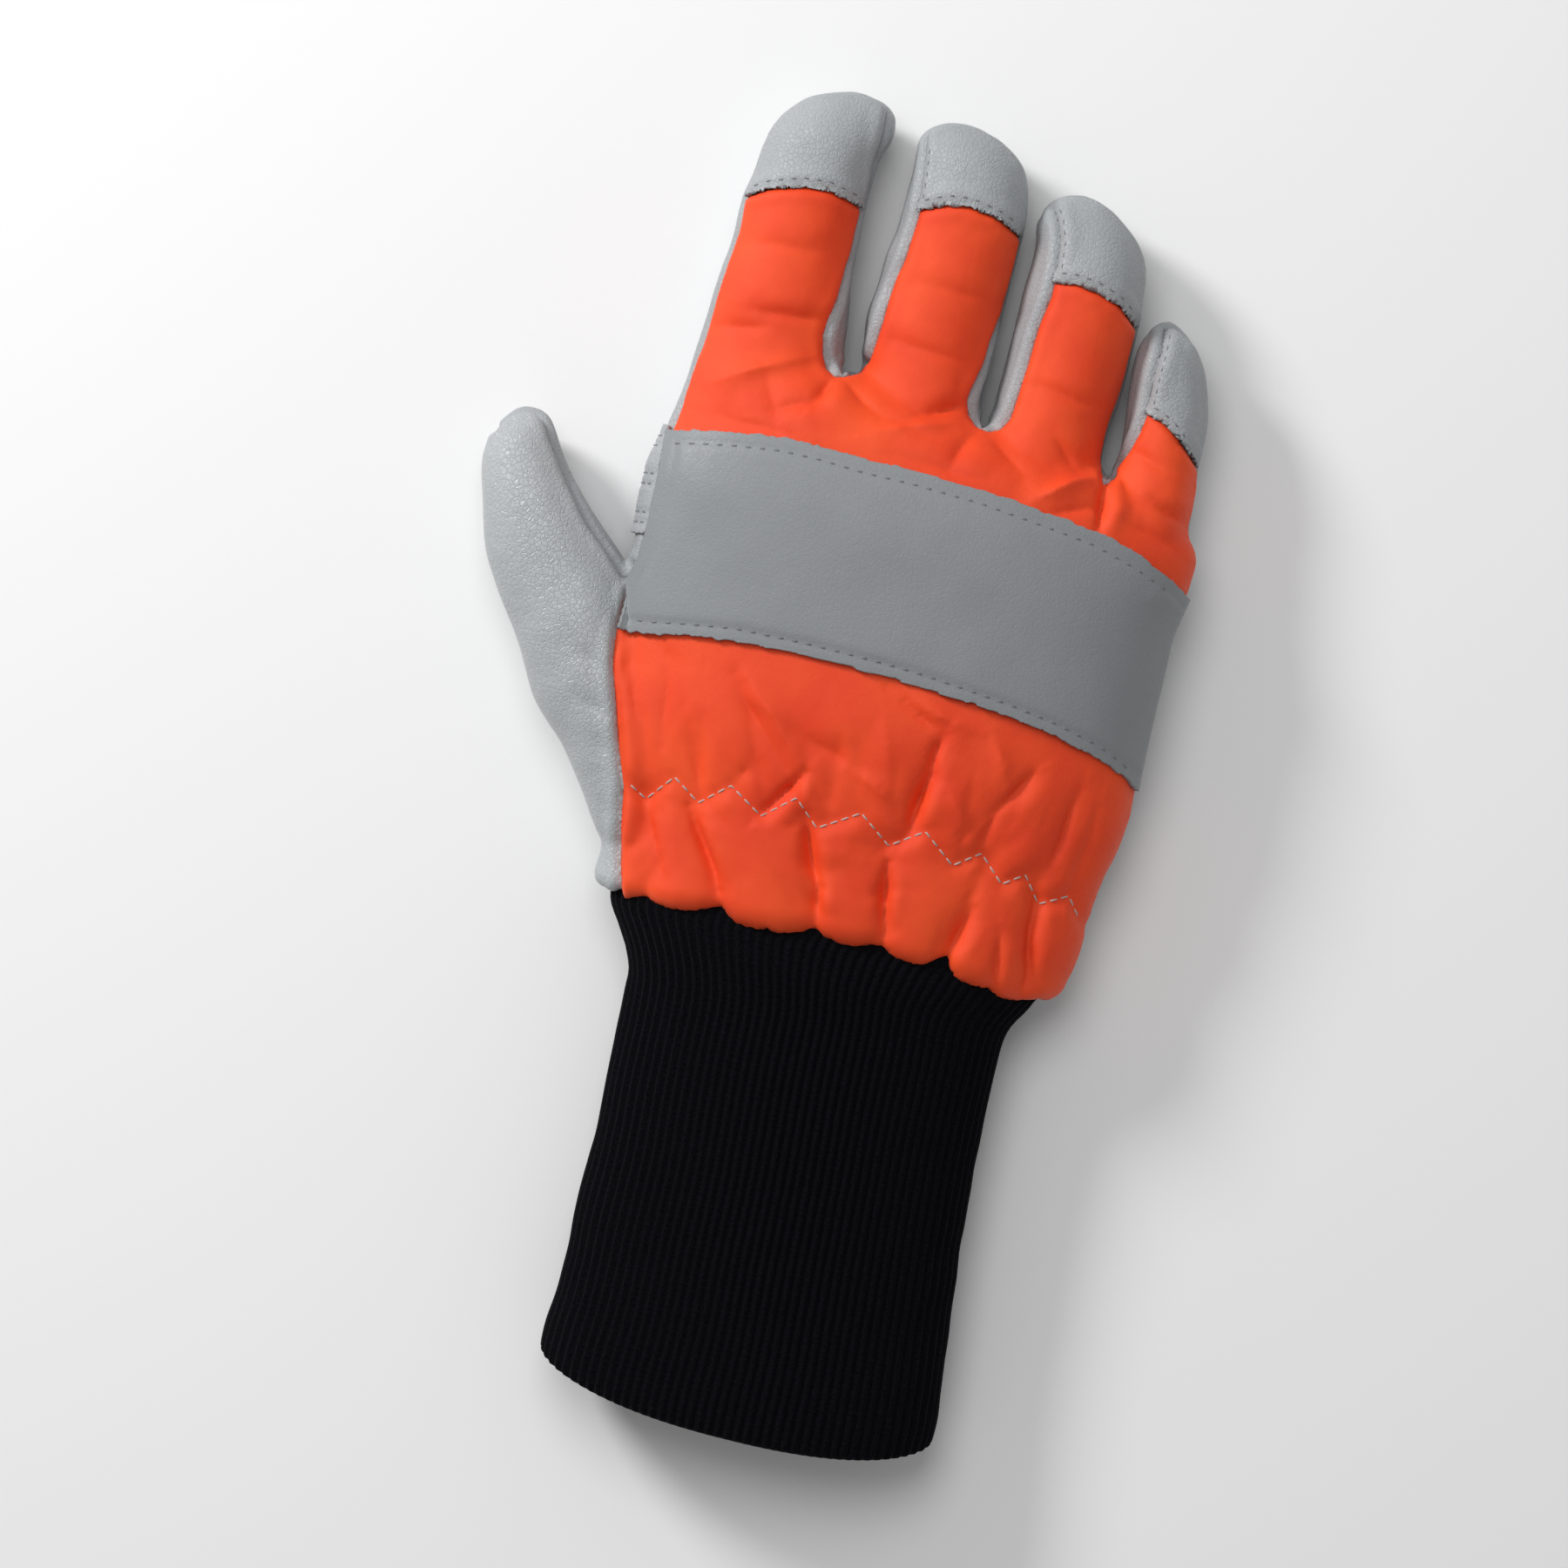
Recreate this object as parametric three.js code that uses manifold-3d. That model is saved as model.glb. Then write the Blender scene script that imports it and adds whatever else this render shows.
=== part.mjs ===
// A right-hand chainsaw glove that lies palm down: grey leather palm, thumb, finger fronts and
// fingertip caps, a hi-vis fabric back with gathers at the wrist, a leather strap over the
// knuckles, a stitched leather patch over the palm and a long knitted cuff.
// Millimetres, +Y towards the fingertips, +Z up out of the back of the hand, thumb towards -X.
import * as THREE from "three";
import { mergeVertices } from "three/addons/utils/BufferGeometryUtils.js";
import Module from "manifold-3d";

const wasm = await Module();
wasm.setup();

// Driving sizes of the hand.
const HAND_WIDTH = 116; // across the knuckles
const HAND_LENGTH = 112; // wrist hem to the finger crotches
const HAND_HEIGHT = 34; // palm to back at the knuckles
const WALL = 2; // leather or fabric with its lining
const SEAM_GAP = 0.4; // between two pieces that are sewn together
const LAYER_GAP = 0.3; // between a wall and what is laid on it
const SEAM_HEIGHT = 13; // the side seam between back and front, above the rest surface

// Driving sizes of the fingers and the thumb.
const FINGER_LENGTH = 79; // the index tube, from its root inside the hand to its tip
const FINGER_WIDTH = 27;
const FINGER_HEIGHT = 22;
const FINGER_TIP = 12; // length of the rounded end
const CAP_BOW = 2.5; // how far a cap's straight edge arches towards the tip
const THUMB_LENGTH = 96;
const THUMB_WIDTH = 26;
const THUMB_HEIGHT = 23;
const THUMB_TIP = 13;
const THUMB_LEAN = -28; // degrees from the hand's axis
const THUMB_SEAM_HEIGHT = 12;

// Driving sizes of what is laid on the hand and of the wrist.
const STRAP_WIDTH = 43;
const STRAP_THICKNESS = 1.2;
const STRAP_ARCH = 6; // rise of the strap's edges from its ends to its middle
const PATCH_WIDTH = 26;
const PATCH_THICKNESS = 1;
const PATCH_ARCH = 5;
const CUFF_LENGTH = 108; // from the hem to the rim
const CUFF_WIDTH = 80;
const CUFF_HEIGHT = 28;
const CUFF_WALL = 2.4;
const CUFF_TUCK = 9; // how far the knit reaches up inside the hem
const CUFF_BOW = 9; // how far the rim's upper side runs past its corners
const RIB_COUNT = 30;
const RIB_DEPTH = 0.8;
const GATHER_DEPTH = 3.6;
const FOLD_DEPTH = 1.6;

const LEATHER = new THREE.MeshStandardMaterial({ color: 0xa7acb0, roughness: 0.55, metalness: 0 });
const STRAP_LEATHER = new THREE.MeshStandardMaterial({ color: 0x969a9e, roughness: 0.5, metalness: 0 });
const FABRIC = new THREE.MeshStandardMaterial({ color: 0xff4a20, roughness: 0.6, metalness: 0 });
const KNIT = new THREE.MeshStandardMaterial({ color: 0x08080c, roughness: 0.95, metalness: 0 });

// Sections along the hand: at is a share of HAND_LENGTH; centre and half are shares of HAND_WIDTH;
// level, rise and drop are shares of HAND_HEIGHT; skew turns the section in plan.
const HAND_ROWS = [
  { at: -0.02, centre: -0.006, half: 0.43, level: 0.43, rise: 0.42, drop: 0.47, skew: -0.04 },
  { at: 0.06, centre: 0.005, half: 0.44, level: 0.43, rise: 0.43, drop: 0.47, skew: -0.04 },
  { at: 0.18, centre: 0.004, half: 0.452, level: 0.43, rise: 0.46, drop: 0.47, skew: -0.04 },
  { at: 0.36, centre: -0.002, half: 0.488, level: 0.43, rise: 0.53, drop: 0.47, skew: -0.05 },
  { at: 0.54, centre: -0.008, half: 0.491, level: 0.43, rise: 0.57, drop: 0.47, skew: -0.07 },
  { at: 0.71, centre: -0.007, half: 0.495, level: 0.43, rise: 0.57, drop: 0.47, skew: -0.1 },
  { at: 0.82, centre: 0.014, half: 0.492, level: 0.43, rise: 0.54, drop: 0.47, skew: -0.13 },
  { at: 0.9, centre: 0.024, half: 0.486, level: 0.43, rise: 0.48, drop: 0.46, skew: -0.15 },
  { at: 0.96, centre: 0.016, half: 0.458, level: 0.42, rise: 0.38, drop: 0.41, skew: -0.17 },
  { at: 1.0, centre: 0.008, half: 0.425, level: 0.41, rise: 0.22, drop: 0.28, skew: -0.17 },
];
const HAND_POWER = 2.3;
const HAND_SIDES = 46;

// Shares of HAND_LENGTH at which the tube of the hand has rings.
const HAND_STEPS = [-0.02, 0.02, 0.06, 0.1, 0.15, 0.2, 0.26, 0.32, 0.4, 0.5, 0.61, 0.72, 0.8];
HAND_STEPS.push(0.86, 0.91, 0.95, 0.98, 1);

// Fingers: x is a share of HAND_WIDTH, root of HAND_LENGTH, length of FINGER_LENGTH, width of
// FINGER_WIDTH; lean is in degrees and hook is how far the tip bends aside, as a share of the width.
// The back's seams lie at the shares left and right of the half-width, where over 1 is past the
// outline, and the cap starts at the share cap of the length.
const FINGERS = [
  { name: "index", x: -0.337, root: 0.85, length: 1, width: 1, lean: 2.5, hook: 0.1, left: 0.98, right: 0.84, cap: 0.7 },
  { name: "middle", x: -0.045, root: 0.85, length: 0.975, width: 0.97, lean: 0.7, hook: -0.09, left: 0.78, right: 0.94, cap: 0.765 },
  { name: "ring", x: 0.202, root: 0.8, length: 0.918, width: 0.945, lean: 0, hook: -0.12, left: 0.56, right: 1.08, cap: 0.72 },
  { name: "little", x: 0.408, root: 0.76, length: 0.696, width: 0.67, lean: -2.5, hook: -0.06, left: 0.44, right: 1.3, cap: 0.59 },
];

// Sections along a finger: half is a share of the finger's width; level, rise and drop are shares
// of FINGER_HEIGHT.
const FINGER_ROWS = [
  { at: 0.0, half: 0.47, level: 0.66, rise: 0.62, drop: 0.64 },
  { at: 0.2, half: 0.51, level: 0.62, rise: 0.6, drop: 0.66 },
  { at: 0.34, half: 0.52, level: 0.58, rise: 0.56, drop: 0.64 },
  { at: 0.5, half: 0.5, level: 0.55, rise: 0.53, drop: 0.6 },
  { at: 0.7, half: 0.48, level: 0.52, rise: 0.5, drop: 0.57 },
  { at: 0.88, half: 0.45, level: 0.5, rise: 0.46, drop: 0.53 },
  { at: 1.0, half: 0.44, level: 0.48, rise: 0.44, drop: 0.5 },
];
const FINGER_POWER = 2.2;
const FINGER_SIDES = 16;
const FINGER_RINGS = 5;

// Sections along the thumb: shift and half are shares of THUMB_WIDTH, the rest of THUMB_HEIGHT.
const THUMB_START = { x: -0.365, y: 0.08 };
const THUMB_ROWS = [
  { at: 0.0, shift: 0.0, half: 0.3, level: 0.56, rise: 0.46, drop: 0.6 },
  { at: 0.12, shift: -0.02, half: 0.36, level: 0.56, rise: 0.52, drop: 0.6 },
  { at: 0.26, shift: -0.04, half: 0.42, level: 0.55, rise: 0.55, drop: 0.6 },
  { at: 0.41, shift: -0.05, half: 0.5, level: 0.54, rise: 0.55, drop: 0.6 },
  { at: 0.57, shift: -0.08, half: 0.51, level: 0.52, rise: 0.52, drop: 0.58 },
  { at: 0.73, shift: -0.11, half: 0.47, level: 0.5, rise: 0.48, drop: 0.56 },
  { at: 0.87, shift: -0.09, half: 0.39, level: 0.48, rise: 0.42, drop: 0.52 },
  { at: 1.0, shift: 0.0, half: 0.33, level: 0.46, rise: 0.38, drop: 0.48 },
];

// Sections along the cuff below the hem: at is a share of CUFF_LENGTH, centre and half of
// CUFF_WIDTH, and the rest of CUFF_HEIGHT.
const CUFF_ROWS = [
  { at: 0.1, centre: -0.006, half: 0.52, level: 0.5, rise: 0.5, drop: 0.56 },
  { at: 0.17, centre: -0.003, half: 0.5, level: 0.5, rise: 0.48, drop: 0.56 },
  { at: 0.45, centre: 0.004, half: 0.499, level: 0.5, rise: 0.46, drop: 0.56 },
  { at: 0.7, centre: 0.01, half: 0.515, level: 0.5, rise: 0.47, drop: 0.56 },
  { at: 0.92, centre: 0.008, half: 0.53, level: 0.5, rise: 0.5, drop: 0.56 },
];

// Puffs of the gathered hem: at and width are shares of HAND_WIDTH across the back, and depth is a
// share of GATHER_DEPTH.
const GATHERS = [
  { at: -0.35, width: 0.13, depth: 0.55 },
  { at: -0.235, width: 0.1, depth: 0.7 },
  { at: -0.105, width: 0.155, depth: 0.9 },
  { at: 0.035, width: 0.12, depth: 1 },
  { at: 0.16, width: 0.125, depth: 0.95 },
  { at: 0.28, width: 0.105, depth: 0.9 },
  { at: 0.385, width: 0.1, depth: 0.8 },
];
const GATHER_REACH = 0.2; // share of HAND_LENGTH over which the puffs die away
const GATHER_SAG = 0.6; // how far a puff hangs below the hem, as a share of its depth

// Soft folds of the back: both ends are shares of HAND_WIDTH across and of HAND_LENGTH along,
// width is a share of HAND_WIDTH, and depth of FOLD_DEPTH, below 0 for a crease.
const FOLDS = [
  { x1: 0.115, y1: 0.42, x2: 0.075, y2: 0.2, width: 0.03, depth: -1 },
  { x1: 0.16, y1: 0.42, x2: 0.14, y2: 0.22, width: 0.04, depth: 0.8 },
  { x1: -0.14, y1: 0.43, x2: -0.05, y2: 0.22, width: 0.045, depth: 0.7 },
  { x1: -0.36, y1: 0.36, x2: -0.28, y2: 0.2, width: 0.04, depth: 0.6 },
  { x1: 0.37, y1: 0.36, x2: 0.29, y2: 0.2, width: 0.035, depth: -0.8 },
  { x1: 0.04, y1: 0.9, x2: 0.27, y2: 0.94, width: 0.045, depth: 0.8 },
  { x1: 0.31, y1: 0.95, x2: 0.32, y2: 0.84, width: 0.025, depth: -1 },
];

const degrees = THREE.MathUtils.degToRad;
const signedPower = (value, power) => Math.sign(value) * Math.abs(value) ** power;
const handX = (share) => share * HAND_WIDTH;
const handY = (share) => share * HAND_LENGTH;

// The rows of a table as a smooth curve: at gives an object with the table's other columns.
function smoothTable(rows) {
  const columns = Object.keys(rows[0]).filter((column) => column !== "at");
  const positions = rows.map((row) => row.at);
  const samples = rows.flatMap((row) => columns.map((column) => row[column]));
  const curve = new THREE.CubicInterpolant(positions, samples, columns.length);
  return (at) => {
    const values = curve.evaluate(THREE.MathUtils.clamp(at, positions[0], positions.at(-1)));
    return Object.fromEntries(columns.map((column, i) => [column, values[i]]));
  };
}

// A closed solid through rings of points, with a fan on each end.
function skin(rings, firstTip, lastTip) {
  const sides = rings[0].length;
  const corners = [...rings.flat(), firstTip, lastTip];
  const faces = [];
  const last = (rings.length - 1) * sides;
  for (let k = 0; k < sides; k++) {
    const next = (k + 1) % sides;
    for (let r = 0; r < last; r += sides) {
      faces.push(r + k, r + next, r + sides + next, r + k, r + sides + next, r + sides + k);
    }
    faces.push(corners.length - 2, next, k, corners.length - 1, last + k, last + next);
  }
  const geometry = new THREE.BufferGeometry().setFromPoints(corners);
  geometry.setIndex(faces);
  return solid(geometry);
}

// A closed geometry as a solid that can be joined and cut.
function solid(geometry) {
  for (const name of Object.keys(geometry.attributes)) {
    if (name !== "position") geometry.deleteAttribute(name);
  }
  const merged = mergeVertices(geometry, WELD);
  const made = new wasm.Manifold(
    new wasm.Mesh({
      numProp: 3,
      vertProperties: merged.attributes.position.array,
      triVerts: new Uint32Array(merged.index.array),
    }),
  );
  return made;
}

const WELD = 1e-3; // corners closer than this are one
const union = (solids) => solids.reduce((whole, next) => whole.add(next));

// A plan outline raised from one height to another.
function prism(outline, low, high) {
  const geometry = new THREE.ExtrudeGeometry(new THREE.Shape(outline), {
    depth: high - low,
    bevelEnabled: false,
  });
  return solid(geometry.translate(0, 0, low));
}

// One ring of a soft tube. The section has a centre (x, y, level), a half-width, a rise and a drop,
// all without inset, and what would lie below the floor is flattened on it.
function ring(section, sides, power, warp, extra = () => 0) {
  const lean = degrees(section.lean ?? 0);
  return Array.from({ length: sides }, (_, k) => {
    const turn = (2 * Math.PI * (k + 0.5)) / sides;
    const angle = turn + warp * Math.cos(turn);
    const across = section.half * signedPower(Math.cos(angle), 2 / power);
    const upward = Math.sin(angle);
    const reach = upward > 0 ? section.rise : section.drop;
    const along = (section.skew ?? 0) * across - (section.bow ?? 0) * Math.max(upward, 0);
    const point = new THREE.Vector3(
      section.x + across * Math.cos(lean) + along * Math.sin(lean),
      section.y - across * Math.sin(lean) + along * Math.cos(lean),
      section.level + reach * signedPower(upward, 2 / power),
    );
    const swell = extra(point, upward, k);
    point.x += swell * Math.cos(angle) * Math.cos(lean);
    point.y -= (section.sag ?? 0) * Math.abs(swell);
    point.z = Math.max(point.z + swell * upward, section.floor);
    return point;
  });
}

// How far the patch under the palm lifts the leather off the rest surface at a place along the hand.
const PATCH_MIDDLE = handY(0.74);
const PATCH_STEP = 8; // length of the slope beside the patch
function patchLift(y) {
  const clear = Math.abs(y - PATCH_MIDDLE) - PATCH_WIDTH / 2 - 2 * PATCH_ARCH;
  const share = THREE.MathUtils.clamp(1 - clear / PATCH_STEP, 0, 1);
  return (PATCH_THICKNESS + LAYER_GAP) * share;
}

// Gathers and folds of the fabric back at a place in plan.
function backRelief(x, y) {
  const up = THREE.MathUtils.clamp(1 - y / handY(GATHER_REACH), 0, 1.1);
  let height = 0;
  for (const puff of GATHERS) {
    const aside = (x - handX(puff.at)) / (handX(puff.width) / 2);
    if (Math.abs(aside) < 1) height += GATHER_DEPTH * puff.depth * Math.cos((aside * Math.PI) / 2) * up;
  }
  const place = new THREE.Vector3(x, y, 0);
  for (const fold of FOLDS) {
    const line = new THREE.Line3(
      new THREE.Vector3(handX(fold.x1), handY(fold.y1), 0),
      new THREE.Vector3(handX(fold.x2), handY(fold.y2), 0),
    );
    const away = line.closestPointToPoint(place, true, new THREE.Vector3()).distanceTo(place);
    height += FOLD_DEPTH * fold.depth * Math.exp(-((away / handX(fold.width)) ** 2));
  }
  return height;
}

// The hand's soft tube, drawn in by an inset: above 0 is inside the outer face, below 0 outside.
const handAt = smoothTable(HAND_ROWS);
const HEM = HAND_ROWS[0].at;
const TOP_WARP = 0.4; // crowds the points of a ring towards its top
function handSection(at, inset) {
  const row = handAt(at);
  return {
    x: handX(row.centre),
    y: handY(at),
    level: row.level * HAND_HEIGHT,
    half: row.half * HAND_WIDTH - inset,
    rise: row.rise * HAND_HEIGHT - inset,
    drop: row.drop * HAND_HEIGHT - inset,
    skew: row.skew,
    floor: inset + patchLift(handY(at)),
    sag: GATHER_SAG * THREE.MathUtils.clamp(1 - at / GATHER_REACH, 0, 1),
  };
}
function hand(inset, sides, steps, openLength = 0) {
  const stretch = 1 - inset / HAND_LENGTH;
  const sections = steps.map((step) => handSection(step > 0.9 ? step * stretch : step, inset));
  if (openLength > 0) sections.unshift({ ...sections[0], y: sections[0].y - openLength });
  const relief = (point, upward) =>
    upward > 0 ? backRelief(point.x, point.y) * Math.min(1, 3 * upward) : 0;
  const rings = sections.map((section) => ring(section, sides, HAND_POWER, TOP_WARP, relief));
  const tip = (section) => new THREE.Vector3(section.x, section.y, section.level);
  return skin(rings.reverse(), tip(sections.at(-1)), tip(sections[0]));
}

// The shares of a rounded tip's length at which it has rings.
const TIP_STEPS = [0.45, 0.75, 0.93];
const TIP_POWER = 2.4;

// How far a place on a digit's centreline is from its straight axis.
const sideways = (spec, row, along) =>
  ((row.shift ?? 0) + (spec.hook ?? 0) * (Math.max(along, 0) / spec.length) ** 4) * spec.width;

// A finger or thumb as a soft tube: digit has a start, a lean, a length, a width, a height, the
// length of its tip and a table.
function digit(spec, inset, sides, count) {
  const straight = spec.length - spec.tip;
  const sections = [];
  const add = (along, shrink) => {
    const row = spec.table(along / spec.length);
    const aside = sideways(spec, row, along);
    sections.push({
      x: spec.x + along * Math.sin(degrees(spec.lean)) + aside * Math.cos(degrees(spec.lean)),
      y: spec.y + along * Math.cos(degrees(spec.lean)) - aside * Math.sin(degrees(spec.lean)),
      level: row.level * spec.height,
      half: (row.half * spec.width - inset) * shrink,
      rise: (row.rise * spec.height - inset) * shrink,
      drop: (row.drop * spec.height - inset) * shrink,
      lean: spec.lean,
      floor: inset + spec.lift(spec.y + along),
    });
  };
  for (let i = 0; i < count; i++) add((straight * i) / (count - 1), 1);
  for (const step of TIP_STEPS) {
    add(straight + (spec.tip - inset) * step, (1 - step ** TIP_POWER) ** (1 / TIP_POWER));
  }
  const rings = sections.map((section) => ring(section, sides, FINGER_POWER, 0));
  const start = sections[0];
  const end = sections.at(-1);
  const push = (spec.tip - inset) * (1 - TIP_STEPS.at(-1));
  return skin(
    rings.reverse(),
    new THREE.Vector3(
      end.x + push * Math.sin(degrees(spec.lean)),
      end.y + push * Math.cos(degrees(spec.lean)),
      end.level,
    ),
    new THREE.Vector3(start.x, start.y, start.level),
  );
}

const fingerTable = smoothTable(FINGER_ROWS);
const ROOT_LIFT = 10; // the fingers stay lifted over the patch this much further than the hand
const fingerSpecs = FINGERS.map((finger) => ({
  ...finger,
  x: handX(finger.x),
  y: handY(finger.root),
  length: finger.length * FINGER_LENGTH,
  width: finger.width * FINGER_WIDTH,
  height: FINGER_HEIGHT,
  tip: FINGER_TIP,
  lift: (y) => patchLift(y - ROOT_LIFT),
  table: fingerTable,
}));
const thumbSpec = {
  x: handX(THUMB_START.x),
  y: handY(THUMB_START.y),
  lean: THUMB_LEAN,
  length: THUMB_LENGTH,
  width: THUMB_WIDTH,
  height: THUMB_HEIGHT,
  tip: THUMB_TIP,
  lift: () => 0,
  table: smoothTable(THUMB_ROWS),
};

// The whole soft body, and the hollow inside it, which runs out through the wrist.
const outerDigits = (inset) =>
  [...fingerSpecs, thumbSpec].map((spec) => digit(spec, inset, FINGER_SIDES, FINGER_RINGS));
const body = union([hand(0, HAND_SIDES, HAND_STEPS), ...outerDigits(0)]);
const INNER_SIDES = 24;
const INNER_STEPS = HAND_STEPS.filter((_, i) => i % 2 === 0 || i > 16);
const INNER_DIGIT_SIDES = 10;
const INNER_DIGIT_RINGS = 3;
const hollow = union([
  hand(WALL, INNER_SIDES, INNER_STEPS, CUFF_TUCK),
  ...[...fingerSpecs, thumbSpec].map((spec) => digit(spec, WALL, INNER_DIGIT_SIDES, INNER_DIGIT_RINGS)),
]);
const shell = body.subtract(hollow);

// A point beside a finger's centreline: along is in millimetres from its root, share is of the
// half-width, and grow moves it further out on that side.
function beside(spec, along, share, grow = 0) {
  const row = spec.table(along / spec.length);
  const bend = sideways(spec, row, Math.min(along, spec.length));
  const aside = bend + share * row.half * spec.width + Math.sign(share) * grow;
  const lean = degrees(spec.lean);
  return new THREE.Vector2(
    spec.x + along * Math.sin(lean) + aside * Math.cos(lean),
    spec.y + along * Math.cos(lean) - aside * Math.sin(lean),
  );
}

const FAR = 60; // how far the cutters run past the glove
const SEAM_STEPS = 5;
const ARC_STEPS = 6;
const crotchY = (x) => handY(1) + HAND_ROWS.at(-1).skew * (x - handX(HAND_ROWS.at(-1).centre));

// The seam line up one side of a finger, from the crotch to past the tip.
function seamLine(spec, share, from, grow) {
  const start = (from - spec.y) / Math.cos(degrees(spec.lean));
  const end = spec.length + FAR / 2;
  return Array.from({ length: SEAM_STEPS + 1 }, (_, i) =>
    beside(spec, THREE.MathUtils.lerp(start, end, (i / SEAM_STEPS) ** 0.8), share, grow),
  );
}

// Outline of the back in plan, with its fingers. Its left edge below the strap is a table of shares.
const BACK_EDGE = [
  { at: -0.2, x: -0.385 },
  { at: 0, x: -0.385 },
  { at: 0.12, x: -0.415 },
  { at: 0.28, x: -0.46 },
  { at: 0.44, x: -0.49 },
  { at: 0.55, x: -0.482 },
  { at: 0.66, x: -0.475 },
  { at: 0.84, x: -0.474 },
];
function backOutline(grow) {
  const outline = BACK_EDGE.map((row) => new THREE.Vector2(handX(row.x) - grow, handY(row.at)));
  fingerSpecs.forEach((spec, i) => {
    const right = fingerSpecs[i + 1];
    const leftStart = i ? outline.at(-1).y : crotchY(spec.x);
    outline.push(...seamLine(spec, -spec.left, leftStart, grow));
    if (!right) {
      outline.push(...seamLine(spec, spec.right, handY(spec.root), grow).reverse());
      return;
    }
    const middle = (beside(spec, 0, spec.right).x + beside(right, 0, -right.left).x) / 2;
    const low = crotchY(middle) + grow;
    const a = beside(spec, low - spec.y, spec.right, grow);
    const b = beside(right, low - right.y, -right.left, grow);
    const radius = (b.x - a.x) / 2;
    outline.push(...seamLine(spec, spec.right, low + radius, grow).reverse());
    for (let k = 1; k < ARC_STEPS; k++) {
      const turn = Math.PI * (1 + k / ARC_STEPS);
      outline.push(
        new THREE.Vector2((a.x + b.x) / 2 + radius * Math.cos(turn), low + radius * (1 + Math.sin(turn))),
      );
    }
  });
  outline.push(new THREE.Vector2(handX(0.56), handY(0.6)));
  outline.push(new THREE.Vector2(handX(0.56), handY(-0.2)));
  return outline;
}
const TOP = 2 * HAND_HEIGHT;
const backCutter = (grow) => prism(backOutline(grow), SEAM_HEIGHT - grow, TOP);
const backShell = shell.intersect(backCutter(-SEAM_GAP / 2));
const frontShell = shell.subtract(backCutter(SEAM_GAP / 2));

// The end of one finger past its cap's edge, which arches towards the tip. The cutter runs just past
// the seams of the finger's back.
const CAP_MARGIN = 0.1; // share of the half-width
function capCutter(spec, grow) {
  const start = spec.cap * spec.length - grow;
  const left = -spec.left - CAP_MARGIN;
  const right = spec.right + CAP_MARGIN;
  const edge = Array.from({ length: ARC_STEPS + 1 }, (_, k) => {
    const share = THREE.MathUtils.lerp(left, right, k / ARC_STEPS);
    return beside(spec, start + CAP_BOW * Math.max(1 - share ** 2, -0.5), share);
  });
  const end = spec.length + FAR / 2;
  return prism([...edge, beside(spec, end, right), beside(spec, end, left)], -1, TOP);
}
const allCaps = (grow) => union(fingerSpecs.map((spec) => capCutter(spec, grow)));
const backPanel = backShell.subtract(allCaps(SEAM_GAP / 2));
const caps = fingerSpecs.map((spec) => backShell.intersect(capCutter(spec, -SEAM_GAP / 2)));

// The middle and ring finger fronts are pieces of their own, sewn to the palm along a base seam.
const BASE_SEAM = { at: 0.925, slope: -0.06 };
function betweenFingers(left, right, y) {
  const a = beside(left, y - left.y, 1);
  const b = beside(right, y - right.y, -1);
  return (a.x + b.x) / 2;
}
function frontCutter(i, grow) {
  const [before, spec, after] = fingerSpecs.slice(i - 1, i + 2);
  const base = (x) => handY(BASE_SEAM.at) + BASE_SEAM.slope * x - grow;
  const far = spec.y + Math.min(spec.length, after.length + after.y - spec.y);
  const left = [handY(BASE_SEAM.at), far].map((y) => betweenFingers(before, spec, y) - grow);
  const right = [handY(BASE_SEAM.at), far].map((y) => betweenFingers(spec, after, y) + grow);
  const slopes = [left, right].map((side) => (side[1] - side[0]) / (far - handY(BASE_SEAM.at)));
  const end = far + FAR;
  return prism(
    [
      new THREE.Vector2(left[0], base(left[0])),
      new THREE.Vector2(right[0], base(right[0])),
      new THREE.Vector2(right[1] + slopes[1] * FAR, end),
      new THREE.Vector2(left[1] + slopes[0] * FAR, end),
    ],
    -1,
    TOP,
  );
}
const middleFront = frontShell.intersect(frontCutter(1, -SEAM_GAP / 2));
const ringFront = frontShell.intersect(frontCutter(2, -SEAM_GAP / 2));

// The thumb's back is everything left of a seam on its outer side, and the upper half of the thumb.
const THUMB_SEAM = [
  { along: 1.2, share: -0.2 },
  { along: 0.9, share: -0.55 },
  { along: 0.5, share: -0.6 },
  { along: 0.2, share: -0.3 },
];
const THUMB_SEAM_END = { x: -0.21, y: -0.1 };
const THUMB_NOTCH = { x: -0.44, y: 0.595 };
function thumbBackCutter(grow) {
  const seam = THUMB_SEAM.map((row) =>
    beside(thumbSpec, row.along * thumbSpec.length, row.share, -grow),
  );
  const corner = new THREE.Vector2(handX(THUMB_SEAM_END.x) + grow, handY(THUMB_SEAM_END.y));
  const wide = -HAND_WIDTH;
  const side = prism(
    [...seam, corner, new THREE.Vector2(wide, handY(-0.1)), new THREE.Vector2(wide, seam[0].y)],
    -1,
    TOP,
  );
  const upper = prism(
    [
      new THREE.Vector2(wide, handY(-0.1)),
      new THREE.Vector2(handX(THUMB_NOTCH.x) + grow, handY(-0.1)),
      new THREE.Vector2(handX(THUMB_NOTCH.x) + grow, handY(THUMB_NOTCH.y) + grow),
      beside(thumbSpec, 0.55 * thumbSpec.length, 1.25),
      beside(thumbSpec, thumbSpec.length + FAR / 4, 1.25),
      new THREE.Vector2(wide, seam[0].y + FAR / 2),
    ],
    THUMB_SEAM_HEIGHT - grow,
    TOP,
  );
  return side.add(upper);
}
const thumbBack = frontShell.intersect(thumbBackCutter(-SEAM_GAP / 2));
const palm = frontShell
  .subtract(thumbBackCutter(SEAM_GAP / 2))
  .subtract(frontCutter(1, SEAM_GAP / 2))
  .subtract(frontCutter(2, SEAM_GAP / 2));

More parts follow.
